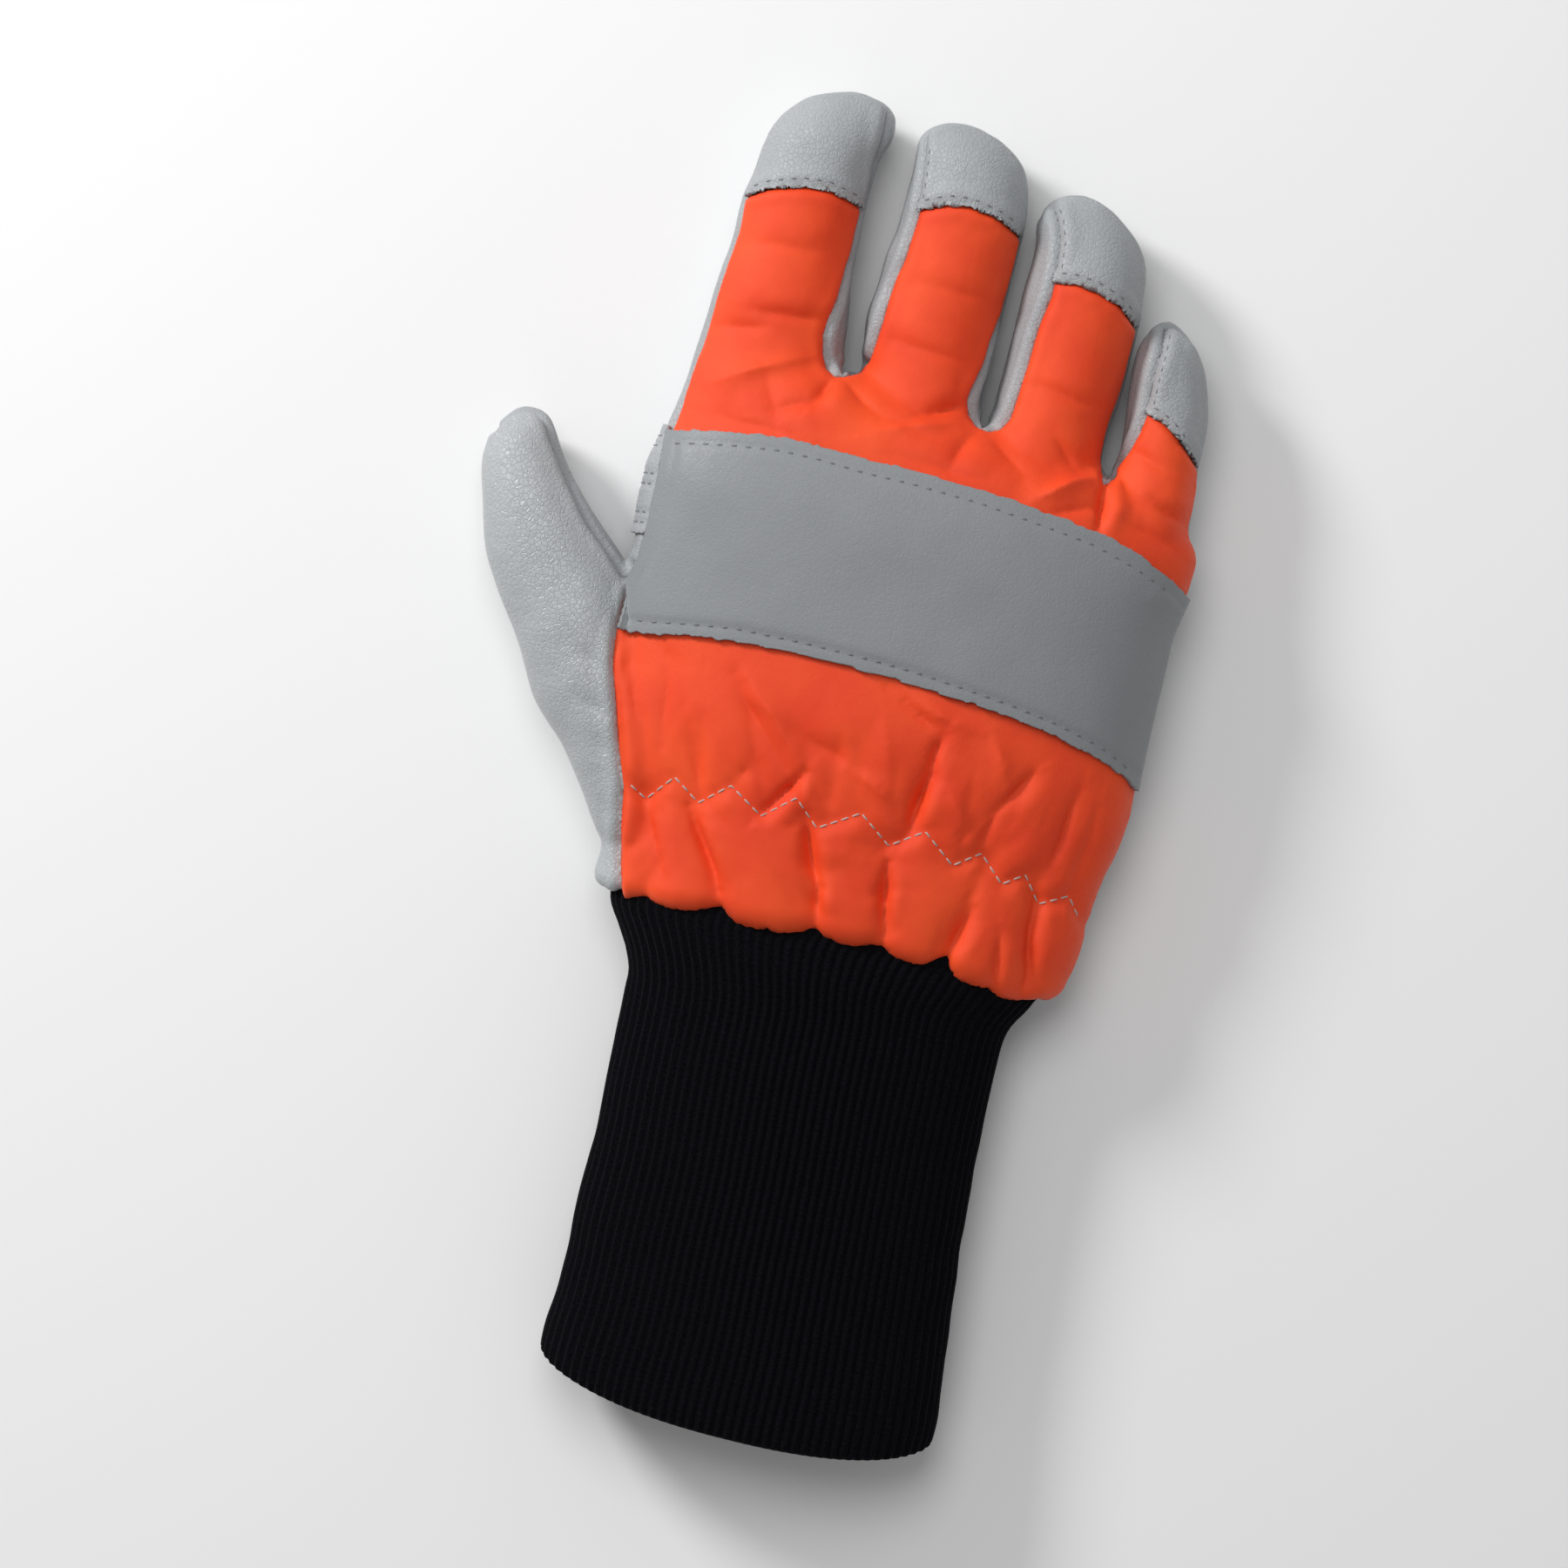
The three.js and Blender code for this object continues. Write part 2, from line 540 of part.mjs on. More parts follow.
// A band across the hand between two arched edges, of which the lower one ends at the height low.
function bandCutter(low, width, arch, slope) {
  const edge = (y) =>
    Array.from({ length: 9 }, (_, k) => {
      const x = handX(0.56) * (k / 4 - 1);
      return new THREE.Vector2(x, y + slope * x + arch * (1 - (x / handX(0.5)) ** 2));
    });
  return prism([...edge(low), ...edge(low + width).reverse()], -STRAP_WIDTH, TOP);
}

// A layer laid on the outside of the hand, clear of everything under it.
const cover = union([hand(-LAYER_GAP, HAND_SIDES, HAND_STEPS), ...outerDigits(-LAYER_GAP)]);
const layer = (thickness, region) =>
  hand(-LAYER_GAP - thickness, HAND_SIDES, HAND_STEPS).intersect(region).subtract(cover);

const STRAP = { at: 0.41, slope: -0.075 };
const strapBand = bandCutter(handY(STRAP.at), STRAP_WIDTH, STRAP_ARCH, STRAP.slope);
const strap = layer(STRAP_THICKNESS, strapBand).intersect(backCutter(-SEAM_GAP / 2));
const PATCH_SLOPE = -0.1;
const patchBand = bandCutter(PATCH_MIDDLE - PATCH_WIDTH / 2, PATCH_WIDTH, PATCH_ARCH, PATCH_SLOPE);
const patch = layer(PATCH_THICKNESS, patchBand).subtract(backCutter(SEAM_GAP / 2));

// The cuff: its top follows the inside of the hem, and below it narrows to the wrist.
const cuffAt = smoothTable(CUFF_ROWS);
const CUFF_RINGS = 5;
const CUFF_INNER_SIDES = 24;
function cuffSections(inset, past) {
  const tucked = [CUFF_TUCK, CUFF_TUCK / 3].map((depth) => {
    const section = handSection(HEM + depth / HAND_LENGTH, WALL + LAYER_GAP + inset);
    return { ...section, sag: 0, skew: section.skew };
  });
  if (past) tucked.unshift({ ...tucked[0], y: tucked[0].y + past });
  const first = CUFF_ROWS[0].at;
  const last = CUFF_ROWS.at(-1).at;
  const below = Array.from({ length: CUFF_RINGS }, (_, i) => {
    const share = i / (CUFF_RINGS - 1);
    const at = THREE.MathUtils.lerp(first, last, share);
    const row = cuffAt(at);
    return {
      x: row.centre * CUFF_WIDTH,
      y: handY(HEM) - at * CUFF_LENGTH,
      level: row.level * CUFF_HEIGHT,
      half: row.half * CUFF_WIDTH - inset,
      rise: row.rise * CUFF_HEIGHT - inset,
      drop: row.drop * CUFF_HEIGHT - inset,
      skew: -0.03,
      floor: inset,
      bow: CUFF_BOW * share ** 2,
    };
  });
  if (past) below.push({ ...below.at(-1), y: below.at(-1).y - past });
  return [...tucked, ...below];
}
function cuffSolid(inset, sides, past, extra) {
  const sections = cuffSections(inset, past);
  const rings = sections.map((section) => ring(section, sides, HAND_POWER, TOP_WARP, extra));
  const centre = (section) => new THREE.Vector3(section.x, section.y, section.level);
  return skin(rings, centre(sections[0]), centre(sections.at(-1)));
}
const rib = (point, upward, k) => (k % 2 ? -RIB_DEPTH : 0);
const free = handY(HEM) - GATHER_DEPTH; // below this the knit is clear of the hem
const openSide = [
  new THREE.Vector2(-HAND_WIDTH, free),
  new THREE.Vector2(-HAND_WIDTH, free - 2 * CUFF_LENGTH),
  new THREE.Vector2(HAND_WIDTH, free - 2 * CUFF_LENGTH),
  new THREE.Vector2(HAND_WIDTH, free),
];
const roomInside = hand(WALL + LAYER_GAP, INNER_SIDES, INNER_STEPS, CUFF_TUCK);
const cuff = cuffSolid(0, 2 * RIB_COUNT, 0, rib)
  .intersect(roomInside.add(prism(openSide, -1, TOP)))
  .subtract(cuffSolid(CUFF_WALL, CUFF_INNER_SIDES, CUFF_BOW, undefined));

// A piece's main body as a geometry, welded and without the specks that the cuts leave beside it.
function mainGeometry(piece) {
  const geometry = new THREE.BufferGeometry();
  let bodies = piece.decompose();
  do {
    const [main] = bodies.sort((a, b) => b.volume() - a.volume());
    const { vertProperties, triVerts } = main.getMesh();
    geometry.setAttribute("position", new THREE.BufferAttribute(vertProperties, 3));
    geometry.setIndex(new THREE.BufferAttribute(triVerts, 1));
    bodies = solid(geometry).decompose();
  } while (bodies.length > 1);
  return geometry;
}

// Names every solid as a mesh of the group.
const glove = new THREE.Group();
function place(name, piece, material) {
  const geometry = mainGeometry(piece);
  geometry.computeVertexNormals();
  const mesh = new THREE.Mesh(geometry, material);
  mesh.name = name;
  glove.add(mesh);
}
place("back_panel", backPanel, FABRIC);
place("palm", palm, LEATHER);
place("middle_front", middleFront, LEATHER);
place("ring_front", ringFront, LEATHER);
place("thumb_back", thumbBack, LEATHER);
fingerSpecs.forEach((spec, i) => place(`${spec.name}_cap`, caps[i], LEATHER));
place("knuckle_strap", strap, STRAP_LEATHER);
place("palm_patch", patch, LEATHER);
place("cuff", cuff, KNIT);

// The origin is on the rest surface under the middle of the glove's box.
const box = new THREE.Box3().setFromObject(glove);
const middle = box.getCenter(new THREE.Vector3());
glove.position.set(-middle.x, -middle.y, -box.min.z);

export default glove;
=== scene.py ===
"""The looks of a right-hand chainsaw glove that lies palm down on a pale floor."""

import math

import bmesh
import bpy
import numpy as np
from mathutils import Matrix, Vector
from mathutils.bvhtree import BVHTree
from mathutils.kdtree import KDTree


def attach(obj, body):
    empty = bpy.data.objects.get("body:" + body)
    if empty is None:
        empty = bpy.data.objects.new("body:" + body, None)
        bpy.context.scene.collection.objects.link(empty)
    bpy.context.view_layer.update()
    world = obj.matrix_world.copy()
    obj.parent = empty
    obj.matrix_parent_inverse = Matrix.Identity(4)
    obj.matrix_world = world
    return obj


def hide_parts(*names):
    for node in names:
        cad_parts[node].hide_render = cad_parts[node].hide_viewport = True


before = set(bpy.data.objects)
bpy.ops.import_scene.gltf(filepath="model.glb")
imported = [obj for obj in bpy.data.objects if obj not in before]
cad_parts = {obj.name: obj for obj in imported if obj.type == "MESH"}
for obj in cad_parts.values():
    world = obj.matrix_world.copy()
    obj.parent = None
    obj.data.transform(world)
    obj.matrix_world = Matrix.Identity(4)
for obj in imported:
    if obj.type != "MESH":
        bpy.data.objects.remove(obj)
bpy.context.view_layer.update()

# Plan coordinates are millimetres from the middle of the wrist hem; OFFSET moves them to the frame's.
OFFSET = np.array([16.19, -31.63, 0.0])
# The size of the skin's voxels, and how far its walls go in. A cap's wall goes in less.
VOXEL = 0.75
WALL = 1.1
CAP_WALL = WALL - 0.4
# The hem's edge rolls under over HEM_ROLL millimetres, by HEM_DIP of a full round.
HEM_ROLL = 3.2
HEM_DIP = 0.8
# The cloth simulation of the back panel: it starts with CLOTH_HINT of the folds' heights, grows by up
# to CLOTH_GROWTH, and moves nothing by more than CLOTH_CAP. CLOTH_SCALE shrinks it to run.
CLOTH_VOXEL = 1.2
CLOTH_SCALE = 0.02
CLOTH_HINT = 0.8
CLOTH_GROWTH = 0.25
CLOTH_BEND = 0.35
CLOTH_PRESSURE = 1.4
CLOTH_FRAMES = 28
CLOTH_CAP = 6.0
# The sharp creases laid on the cloth's result: their depth and width, as shares of the table's.
CREASE_AFTER = 1.15
CREASE_FINE = 0.55
# Past this y, where the strap begins, the fabric is less wrinkled.
STRAP_START = 53
# Rays down from this height find where the stitches on the upper side lie.
RAY_HEIGHT = 60

# Small helpers.


def curve_of(rows):
    """Smooth columns through a table whose first column is the position."""
    rows = np.array(rows, float)
    x, y = rows[:, 0], rows[:, 1:]
    h = np.diff(x)[:, None]
    d = np.diff(y, axis=0) / h
    m = np.zeros_like(y)
    m[0], m[-1] = d[0], d[-1]
    same = (d[:-1] * d[1:]) > 0
    w1, w2 = 2 * h[1:] + h[:-1], h[1:] + 2 * h[:-1]
    with np.errstate(divide="ignore", invalid="ignore"):
        inner = (w1 + w2) / (w1 / d[:-1] + w2 / d[1:])
    m[1:-1] = np.where(same, inner, 0)

    def at(q):
        q = np.clip(q, x[0], x[-1])
        i = np.clip(np.searchsorted(x, q, side="right") - 1, 0, len(x) - 2)
        hh = x[i + 1] - x[i]
        t = (q - x[i]) / hh
        start = (1 + 2 * t) * (1 - t) ** 2 * y[i] + t * (1 - t) ** 2 * hh * m[i]
        return start + t * t * (3 - 2 * t) * y[i + 1] + t * t * (t - 1) * hh * m[i + 1]

    return at


def line_at(points, q):
    points = np.array(points, float)
    return np.interp(q, points[:, 0], points[:, 1])


def polygon_distance(points, xy):
    """Signed distance of plan points to a polygon's outline, above 0 inside."""
    a = np.array(points, float)
    b = np.roll(a, -1, axis=0)
    best = np.full(len(xy), 1e9)
    inside = np.zeros(len(xy), bool)
    for (x1, y1), (x2, y2) in zip(a, b):
        ex, ey = x2 - x1, y2 - y1
        wx, wy = xy[:, 0] - x1, xy[:, 1] - y1
        t = np.clip((wx * ex + wy * ey) / (ex * ex + ey * ey + 1e-12), 0, 1)
        best = np.minimum(best, (wx - t * ex) ** 2 + (wy - t * ey) ** 2)
        cross = (y1 > xy[:, 1]) != (y2 > xy[:, 1])
        if abs(ey) > 1e-12:
            inside ^= cross & (xy[:, 0] < ex * (xy[:, 1] - y1) / ey + x1)
    return np.sqrt(best) * np.where(inside, 1, -1)


def hashed(i, j, k, seed):
    n = i * 374761393 + j * 668265263 + k * 2147483647 + seed * 1274126177
    n = (n ^ (n >> 13)) * 1274126177
    n = n ^ (n >> 16)
    return (n & 0xFFFF) / 32767.5 - 1.0


def noise(p, size, seed=0):
    """Smooth value noise from -1 to 1 at points p, with cells of the given size in millimetres."""
    q = p / np.array(size, float)
    c = np.floor(q).astype(np.int64)
    f = q - c
    f = f * f * (3 - 2 * f)
    out = np.zeros(len(p))
    for dx, dy, dz in np.ndindex(2, 2, 2):
        wx, wy, wz = np.where([dx, dy, dz], f, 1 - f).T
        out += wx * wy * wz * hashed(c[:, 0] + dx, c[:, 1] + dy, c[:, 2] + dz, seed)
    return out


def step(a, b, v):
    """0 on a's side, 1 on b's, smooth between them; a may be above b."""
    t = np.clip((v - a) / (b - a), 0, 1)
    return t * t * (3 - 2 * t)


def edges_of(f):
    return np.vstack([f[:, [0, 1]], f[:, [1, 2]], f[:, [2, 0]]])


def normals_of(v, f):
    n = np.zeros_like(v)
    fn = np.cross(v[f[:, 1]] - v[f[:, 0]], v[f[:, 2]] - v[f[:, 0]])
    for k in range(3):
        np.add.at(n, f[:, k], fn)
    return n / np.maximum(np.linalg.norm(n, axis=1, keepdims=True), 1e-12)


def smooth_mesh(v, f, rounds, weight=None):
    """Draws the vertices halfway to their neighbours' mean each round, or less by weight."""
    e = edges_of(f)
    count = np.zeros(len(v))
    np.add.at(count, e[:, 0], 1)
    np.add.at(count, e[:, 1], 1)
    w = 0.5 if weight is None else (0.5 * weight)[:, None]
    for _ in range(rounds):
        s = np.zeros_like(v)
        np.add.at(s, e[:, 0], v[e[:, 1]])
        np.add.at(s, e[:, 1], v[e[:, 0]])
        v = v + (s / np.maximum(count, 1)[:, None] - v) * w
    return v


def add_object(name, co, faces):
    me = bpy.data.meshes.new(name)
    me.from_pydata(co.tolist(), [], faces)
    ob = bpy.data.objects.new(name, me)
    bpy.context.scene.collection.objects.link(ob)
    return ob


def taken(ob):
    """The mesh of an object with its modifiers. The object is removed."""
    got = bpy.data.meshes.new_from_object(ob.evaluated_get(bpy.context.evaluated_depsgraph_get()))
    bpy.data.objects.remove(ob)
    return got


def new_mesh(name, v, faces, material):
    """A smooth shaded object from plan millimetres and faces."""
    ob = add_object(name, (v + OFFSET) / 1000, faces)
    ob.data.update()
    ob.data.shade_smooth()
    ob.data.materials.append(material)
    return ob


# Soft tubes.


def rounded(t, power):
    """A rounded box's outline at the angles t: across and up, each from -1 to 1."""
    c, s = np.cos(t), np.sin(t)
    return np.sign(c) * np.abs(c) ** (2 / power), np.sign(s) * np.abs(s) ** (2 / power)


def tube(sections, sides, power, tip0, tip1):
    """Closed tube. A section is (x, y, z, half, rise, drop, angle, skew)."""
    cc, ss = rounded(2 * np.pi * (np.arange(sides) + 0.5) / sides, power)
    rings = []
    for x, y, z, half, rise, drop, ang, skew in sections:
        ax = half * cc
        al = skew * ax
        ca, sa = math.cos(ang), math.sin(ang)
        up = z + np.where(ss > 0, rise, drop) * ss
        rings.append(np.stack([x + ax * ca + al * sa, y - ax * sa + al * ca, up], axis=1))
    v = np.vstack(rings + [np.array([tip0]), np.array([tip1])])
    n, f = len(sections), []
    for r in range(n - 1):
        for k in range(sides):
            a, b = r * sides + k, r * sides + (k + 1) % sides
            f.append((a, a + sides, b + sides, b))
    for k in range(sides):
        k2 = (k + 1) % sides
        f.append((n * sides, k, k2))
        f.append((n * sides + 1, (n - 1) * sides + k2, (n - 1) * sides + k))
    return v, f


# The hand along y: centre, half-width, level, rise, drop, skew.
HAND = [
    (-14, -1.3, 50, 14.6, 13.8, 16.2, -0.04), (-2.2, -1.4, 50.5, 14.6, 14, 16.2, -0.04),
    (6.7, 0.2, 51.4, 14.6, 14.6, 16.2, -0.04), (20, 0.5, 52.4, 14.6, 15.8, 16.2, -0.04),
    (40, -0.2, 56.6, 14.6, 18, 16.2, -0.05), (60.5, -0.9, 57, 14.6, 19.2, 16.2, -0.07),
    (79.5, -0.8, 57.4, 14.6, 19.2, 16.2, -0.10), (92, 1.6, 57.1, 14.6, 18.2, 16.2, -0.13),
    (101, 2.8, 56.4, 14.6, 16.2, 16, -0.15), (107.5, 1.9, 53, 14.2, 13, 14.5, -0.17),
    (112, 0.9, 48.5, 13.8, 7.5, 9.5, -0.17),
]
# Fingers along y: centre, half-width, level, rise, drop.
FINGERS = {
    "index": [
        (92, -39.2, 13.8, 13.5, 14.5, 14.5), (104, -38.8, 15, 13, 13.6, 14.5),
        (112, -38.4, 15.2, 12.6, 13, 14), (120, -37.9, 14.9, 12.2, 12.6, 13.5),
        (130, -37.7, 14.2, 12, 12.4, 13.2), (140, -37.8, 12.8, 11.8, 12, 13),
        (147, -37.7, 12.7, 11.5, 11.8, 12.6), (155, -37, 12, 11.2, 11.2, 12.2),
        (161, -36.2, 11.9, 11, 10.6, 11.8), (165, -34.6, 12.1, 10.8, 9.8, 11.2),
        (168.4, -33.1, 11.2, 10.6, 8.8, 10.2), (171.2, -32, 8.9, 10.4, 7.2, 8.4),
        (173.2, -31, 5.4, 10.3, 4.4, 5), (174.1, -31, 1.6, 10.2, 1.4, 1.6),
    ],
    "middle": [
        (92, -4.7, 13, 13.5, 14.5, 14.5), (108, -4.6, 13, 12.8, 13.2, 14),
        (118, -4.9, 12.9, 12.3, 12.6, 13.5), (123, -5.5, 13.5, 12.1, 12.6, 13.4),
        (129, -5.8, 14, 12, 12.4, 13.2), (136, -5.2, 13.5, 11.8, 12, 13),
        (142, -4.9, 13.4, 11.6, 11.8, 12.8), (148, -4.1, 13, 11.4, 11.6, 12.6),
        (155, -3.8, 12.8, 11.2, 11.2, 12.2), (160, -4, 12.4, 11, 10.6, 11.8),
        (165, -5, 11.6, 10.8, 9.6, 11), (168.3, -6.1, 9.8, 10.6, 8.2, 9.6),
        (170.4, -6.9, 7.2, 10.4, 6.2, 7.2), (171.7, -7.5, 4, 10.3, 3.6, 4.2),
        (172.2, -7.6, 1.4, 10.2, 1.3, 1.5),
    ],
    "ring": [
        (88, 23, 12.6, 13.5, 14.2, 14.5), (104, 22.8, 12.2, 12.8, 13, 14),
        (115, 22.8, 12.2, 12.2, 12.6, 13.4), (122, 23.6, 12.5, 12, 12.4, 13.2),
        (130, 23.9, 12.6, 11.8, 12.2, 13), (138, 24.3, 12.6, 11.6, 12, 12.8),
        (147, 24.3, 12.1, 11.3, 11.4, 12.4), (151, 23.9, 11.7, 11.1, 10.8, 12),
        (154.7, 22.6, 11, 10.9, 9.8, 11.2), (158, 21.3, 8.8, 10.7, 8.2, 9.4),
        (160.8, 20.6, 5.9, 10.5, 5.6, 6.6), (162.2, 20.2, 2.9, 10.4, 2.8, 3.4),
        (162.6, 20.2, 1, 10.4, 1, 1.2),
    ],
    "little": [
        (82, 47, 9.2, 13, 13.6, 14), (95, 47.2, 9.2, 12.4, 12.6, 13.6), (106, 47.4, 8.7, 11.6, 11.4, 12.8),
        (113, 47.3, 8.3, 11.2, 10.8, 12.3), (120, 47.2, 8.5, 11, 10.4, 12),
        (126, 46.5, 8, 10.8, 9.8, 11.6), (131, 45.7, 7.3, 10.6, 9, 10.8), (135.3, 44.7, 5.7, 10.4, 7.2, 9),
        (138.3, 43.8, 3.4, 10.2, 4.6, 5.8), (139.9, 43.5, 1.4, 10.1, 2, 2.6),
        (140.2, 43.5, 0.6, 10.1, 0.9, 1.1),
    ],
}
# The thumb along its axis: side shift, half-width, level, rise, drop.
THUMB_START = np.array([-42.3, 9.2])
THUMB_AXIS = np.array([-0.4695, 0.8829])
THUMB_SIDE = np.array([0.8829, 0.4695])
THUMB = [
    (-8, 1.6, 6.4, 13, 6.5, 7.5), (-2, 0.6, 7.6, 13, 9, 10), (4, 0, 9, 13, 11.2, 12.4),
    (14, 0.4, 10.4, 12.9, 12, 13.9), (24, 0.4, 11.6, 12.7, 12.4, 14), (38, -0.7, 13.6, 12.4, 12.8, 13.8),
    (51, -0.6, 13.9, 12.2, 12.6, 13.6), (58, -1.4, 13.8, 12, 12.2, 13.4), (64, -2.4, 13.1, 11.8, 11.8, 13),
    (69, -3.2, 12.2, 11.6, 11.4, 12.8), (75, -3.4, 10.9, 11.4, 10.8, 12.4),
    (80, -3.3, 9.8, 11.1, 10.2, 12), (84.5, -3, 9.1, 10.8, 9.4, 11.4), (89.5, -2.2, 8, 10.5, 8.2, 10.2),
    (92.8, -0.9, 6.2, 10.3, 6.4, 8), (95, -0.2, 3.6, 10.2, 3.8, 4.8), (96.2, 0, 1.2, 10.2, 1.3, 1.6),
]


def dense(rows, spacing):
    """A table's smooth rows every spacing millimetres, and its own last five."""
    at = curve_of(rows)
    lo, hi = rows[0][0], rows[-1][0]
    stops = sorted({r[0] for r in rows[-5:]} | set(np.arange(lo, hi, spacing)))
    return [(q, *at(q)) for q in stops]


def body_parts():
    sec = [(c, y, z, h, r, d, 0.0, k) for y, c, h, z, r, d, k in dense(HAND, 3.0)]
    first, last = (*sec[0][:2], 14), (*sec[-1][:2], 13.8)
    out = [tube(sec, 96, 2.35, first, last)]
    for rows in FINGERS.values():
        sec = [(c, y, z, h, r, d, 0.0, 0.0) for y, c, h, z, r, d in dense(rows, 2.0)]
        first, last = (*sec[0][:2], 12), (sec[-1][0], sec[-1][1] + 0.2, sec[-1][2])
        out.append(tube(sec, 48, 2.25, first, last))
    ang = -math.atan2(-THUMB_AXIS[0], THUMB_AXIS[1])
    sec = []
    for s, c, h, z, r, d in dense(THUMB, 2.0):
        p = THUMB_START + s * THUMB_AXIS + c * THUMB_SIDE
        sec.append((p[0], p[1], z, h, r, d, ang, 0.0))
    first, last = (*sec[0][:2], 12), (*(THUMB_START + 96.5 * THUMB_AXIS), 10.2)
    out.append(tube(sec, 48, 2.2, first, last))
    return out


def soft_union(parts, voxel):
    """The tubes as one triangle mesh of even density, in plan millimetres."""
    vs, fs, base = [], [], 0
    for v, f in parts:
        vs.append(v)
        fs += [tuple(i + base for i in face) for face in f]
        base += len(v)
    ob = add_object("union", np.vstack(vs), fs)
    bm = bmesh.new()
    bm.from_mesh(ob.data)
    bmesh.ops.recalc_face_normals(bm, faces=bm.faces)
    bm.to_mesh(ob.data)
    bm.free()
    mod = ob.modifiers.new("remesh", "REMESH")
    mod.mode = "VOXEL"
    mod.voxel_size = voxel
    bm = bmesh.new()
    bm.from_mesh(taken(ob))
    bmesh.ops.triangulate(bm, faces=bm.faces)
    v = np.array([p.co[:] for p in bm.verts])
    f = np.array([[p.index for p in face.verts] for face in bm.faces])
    bm.free()
    return v, f


# Seams in plan.

BACK = [
    (-45.5, -12), (-45.2, -2), (-47, 5), (-48.3, 12), (-49.2, 20), (-51.8, 28), (-54, 36), (-56.6, 45),
    (-57.2, 52), (-56.8, 58), (-55.6, 66), (-55, 76), (-55, 88), (-55.2, 95), (-54.2, 101), (-53.2, 110),
    (-52.2, 120), (-51.2, 130), (-50, 140), (-50, 147), (-48.6, 155), (-47.8, 162), (-46.5, 168),
    (-45, 185), (-25.5, 185), (-24.4, 172), (-24.2, 166), (-25.2, 160), (-25.5, 152), (-25.5, 140),
    (-26, 130), (-27, 126), (-27.4, 122), (-26.6, 118.4), (-25.4, 115.8), (-23.5, 114.6), (-21.6, 114.8),
    (-19.6, 116), (-17.4, 119.4), (-16.5, 128), (-16, 135), (-14.5, 142), (-14, 148), (-13.6, 152.5),
    (-14.2, 160), (-15, 167), (-15.5, 185), (9, 185), (10.4, 160), (10.3, 150), (9.2, 143), (8.2, 135),
    (7.4, 128), (6.8, 122), (5.8, 118), (5.4, 115), (6.4, 112.2), (8.2, 110.4), (10.4, 109.9),
    (12.6, 110.8), (14, 113), (14.6, 117), (15.4, 125), (16, 133), (17.4, 140), (17.6, 146), (17.2, 152),
    (15.8, 156.4), (13.4, 161), (11, 185), (50, 185), (44, 150), (41.5, 148), (38.2, 144), (37.6, 130),
    (37.4, 118), (36.8, 108), (36.4, 105.2), (36.9, 104.2), (37.9, 104.6), (39, 107.5), (40.2, 112),
    (41.6, 116), (42.4, 120), (42.5, 128), (43, 134), (42.8, 139), (43.5, 160), (80, 160), (80, -14),
]
SEAM_Z = 13.0
# The caps: from which x to which they go, and the lower edge of each.
CAP_LINES = {
    "index": ((-60, -21.5), [
        (-60, 143), (-50.5, 147.6), (-46, 150), (-39, 152), (-33, 152.4), (-26, 150.8), (-20, 148),
    ]),
    "middle": ((-21.4, 9.85), [
        (-21, 150), (-13.5, 152.6), (-8, 154.8), (-3, 155.2), (3, 154), (7, 152.5), (10.5, 150.6),
    ]),
    "ring": ((9.85, 41), [
        (10, 142), (17.5, 143.6), (22, 144), (27, 143.3), (32, 141.5), (37, 138), (41, 135),
    ]),
    "little": ((37.7, 70), [
        (38, 121), (42.5, 120.2), (45.5, 119.6), (49, 117.5), (53, 114), (55.5, 112), (62, 106),
    ]),
}
# The lines between neighbouring fingers, as y and x.
GAPS = {
    "im": [(90, -22.5), (114, -22.0), (130, -21.8), (150, -21.5), (185, -21.0)],
    "mr": [(90, 9.0), (112, 9.4), (130, 9.5), (150, 10.2), (165, 9.0), (185, 8.0)],
    "rl": [(80, 36.8), (104, 37.4), (120, 37.9), (138, 38.4), (150, 39.5), (185, 40.0)],
}
# The thumb's seam, as places along its axis and to the side.
THUMB_SEAM = [(-30, 22), (-12, 10), (0, 2), (12, -2.5), (25, -6), (45, -9), (65, -11), (85, -9), (100, -4)]


def back_distance(p):
    """Signed distance to the edge of the back with its caps, above 0 inside."""
    return np.minimum(polygon_distance(BACK, p[:, :2]), p[:, 2] - SEAM_Z)


def plan_fields(p):
    """Signed distances in millimetres, above 0 inside: back, caps, fronts and thumb back."""
    x, y, z = p.T
    back = back_distance(p)
    caps = {}
    for name, ((lo, hi), line) in CAP_LINES.items():
        caps[name] = np.minimum(y - line_at(line, x), np.minimum(x - lo, hi - x))
    im, mr, rl = (line_at(GAPS[k], y) for k in ("im", "mr", "rl"))
    base = y - (104.0 - 0.06 * x)
    mid = np.minimum(np.minimum(x - im, mr - x), base)
    rng = np.minimum(np.minimum(x - mr, rl - x), base)
    d = p[:, :2] - THUMB_START
    s, t = d @ THUMB_AXIS, d @ THUMB_SIDE
    outer = line_at(THUMB_SEAM, s) - t
    rim = 12.5 + 2.5 * step(0, 8, t) + 3.5 * step(42, 56, s) * step(97, 86, s) * step(2, 7, t)
    inner = np.minimum(z - rim, np.where(x < -57.5, 50, np.where(y < 66, -44 - x, -50)))
    return back, caps, mid, rng, np.maximum(outer, inner)


